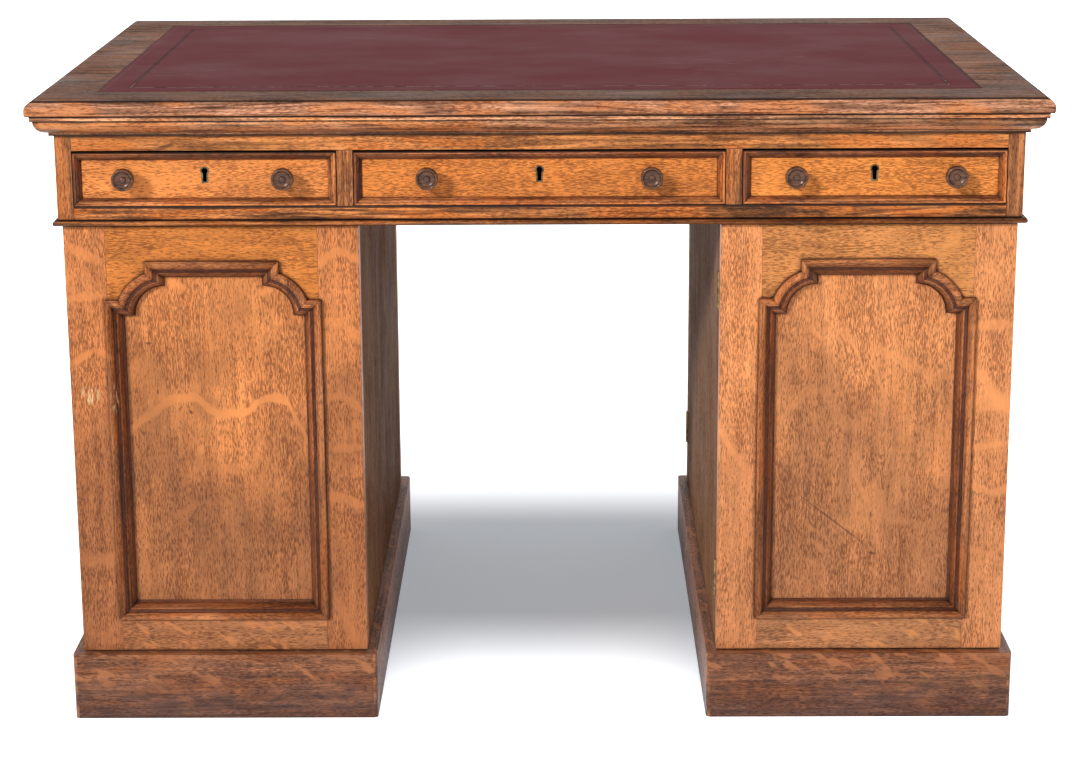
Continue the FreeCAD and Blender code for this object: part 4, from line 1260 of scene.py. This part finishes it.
def make_floor(reach, lift):
    """A pale floor that keeps the desk's shadow, melts into the background, and is painted dark as shadow
    inside the plinths.
    """
    mesh = bpy.data.meshes.new("floor")
    corners = [(-reach, -reach, 0), (reach, -reach, 0), (reach, reach, 0), (-reach, reach, 0)]
    mesh.from_pydata(corners, [], [(0, 1, 2, 3)])
    material, graph = new_material("pale_floor")
    matt = graph.add("BsdfDiffuse", {"Color": MATT_FLOOR})
    pale = graph.add("BsdfDiffuse", {"Color": PALE_FLOOR})
    place = graph.place()
    # Painted shadow: no glow inside the plinths
    inside = graph.math("MAXIMUM", *(graph.inward(place, f"{side}_plinth") for side in ("left", "right")))
    level = graph.ramp(inside, PLINTH_CORNER, 2 * PLINTH_CORNER, lift, 0)
    glow = graph.add("Emission", {"Color": FLOOR_GLOW, "Strength": level})
    white = graph.add("AddShader", {0: pale.outputs[0], 1: glow.outputs[0]})
    either = graph.add("MixShader", {0: seen_directly(graph), 1: matt.outputs[0], 2: white.outputs[0]})
    graph.put(either.outputs[0], graph.add("OutputMaterial").inputs["Surface"])
    mesh.materials.append(material)
    floor = new_object("floor", mesh)
    return floor


def make_camera(place, yaw, pitch, roll, lens, shift_down):
    """The photograph's camera: a long lens a little above the top, looking slightly down."""
    data = bpy.data.cameras.new("camera")
    data.lens = lens
    data.shift_y = -shift_down
    data.clip_end = CAMERA_CLIP
    yaw, pitch, roll = map(math.radians, (yaw, pitch, roll))
    ahead = Vector((math.sin(yaw) * math.cos(pitch), math.cos(yaw) * math.cos(pitch), -math.sin(pitch)))
    level = Vector((math.cos(yaw), -math.sin(yaw), 0))
    above = level.cross(ahead)
    right = level * math.cos(roll) + above * math.sin(roll)
    up = above * math.cos(roll) - level * math.sin(roll)
    camera = new_object("camera", data)
    camera.matrix_world = Matrix.Translation(place) @ Matrix((right, up, -ahead)).transposed().to_4x4()
    bpy.context.scene.camera = camera


make_world(WORLD_STRENGTH)
floor = make_floor(FLOOR_REACH, FLOOR_LIFT)
key, fill, back_light, floor_light = (lamp(name, *settings) for name, settings in LAMPS.items())
light_only(key, [floor], "EXCLUDE")
light_only(fill, [floor], "EXCLUDE")
light_only(back_light, [floor, *(bpy.data.objects[name] for name in NOT_BACK_LIT)], "EXCLUDE")
light_only(floor_light, [floor], "INCLUDE")
make_camera(CAMERA_PLACE, CAMERA_YAW, CAMERA_PITCH, CAMERA_ROLL, CAMERA_LENS, CAMERA_SHIFT_SHARE)
bpy.context.scene.view_settings.view_transform = "Standard"
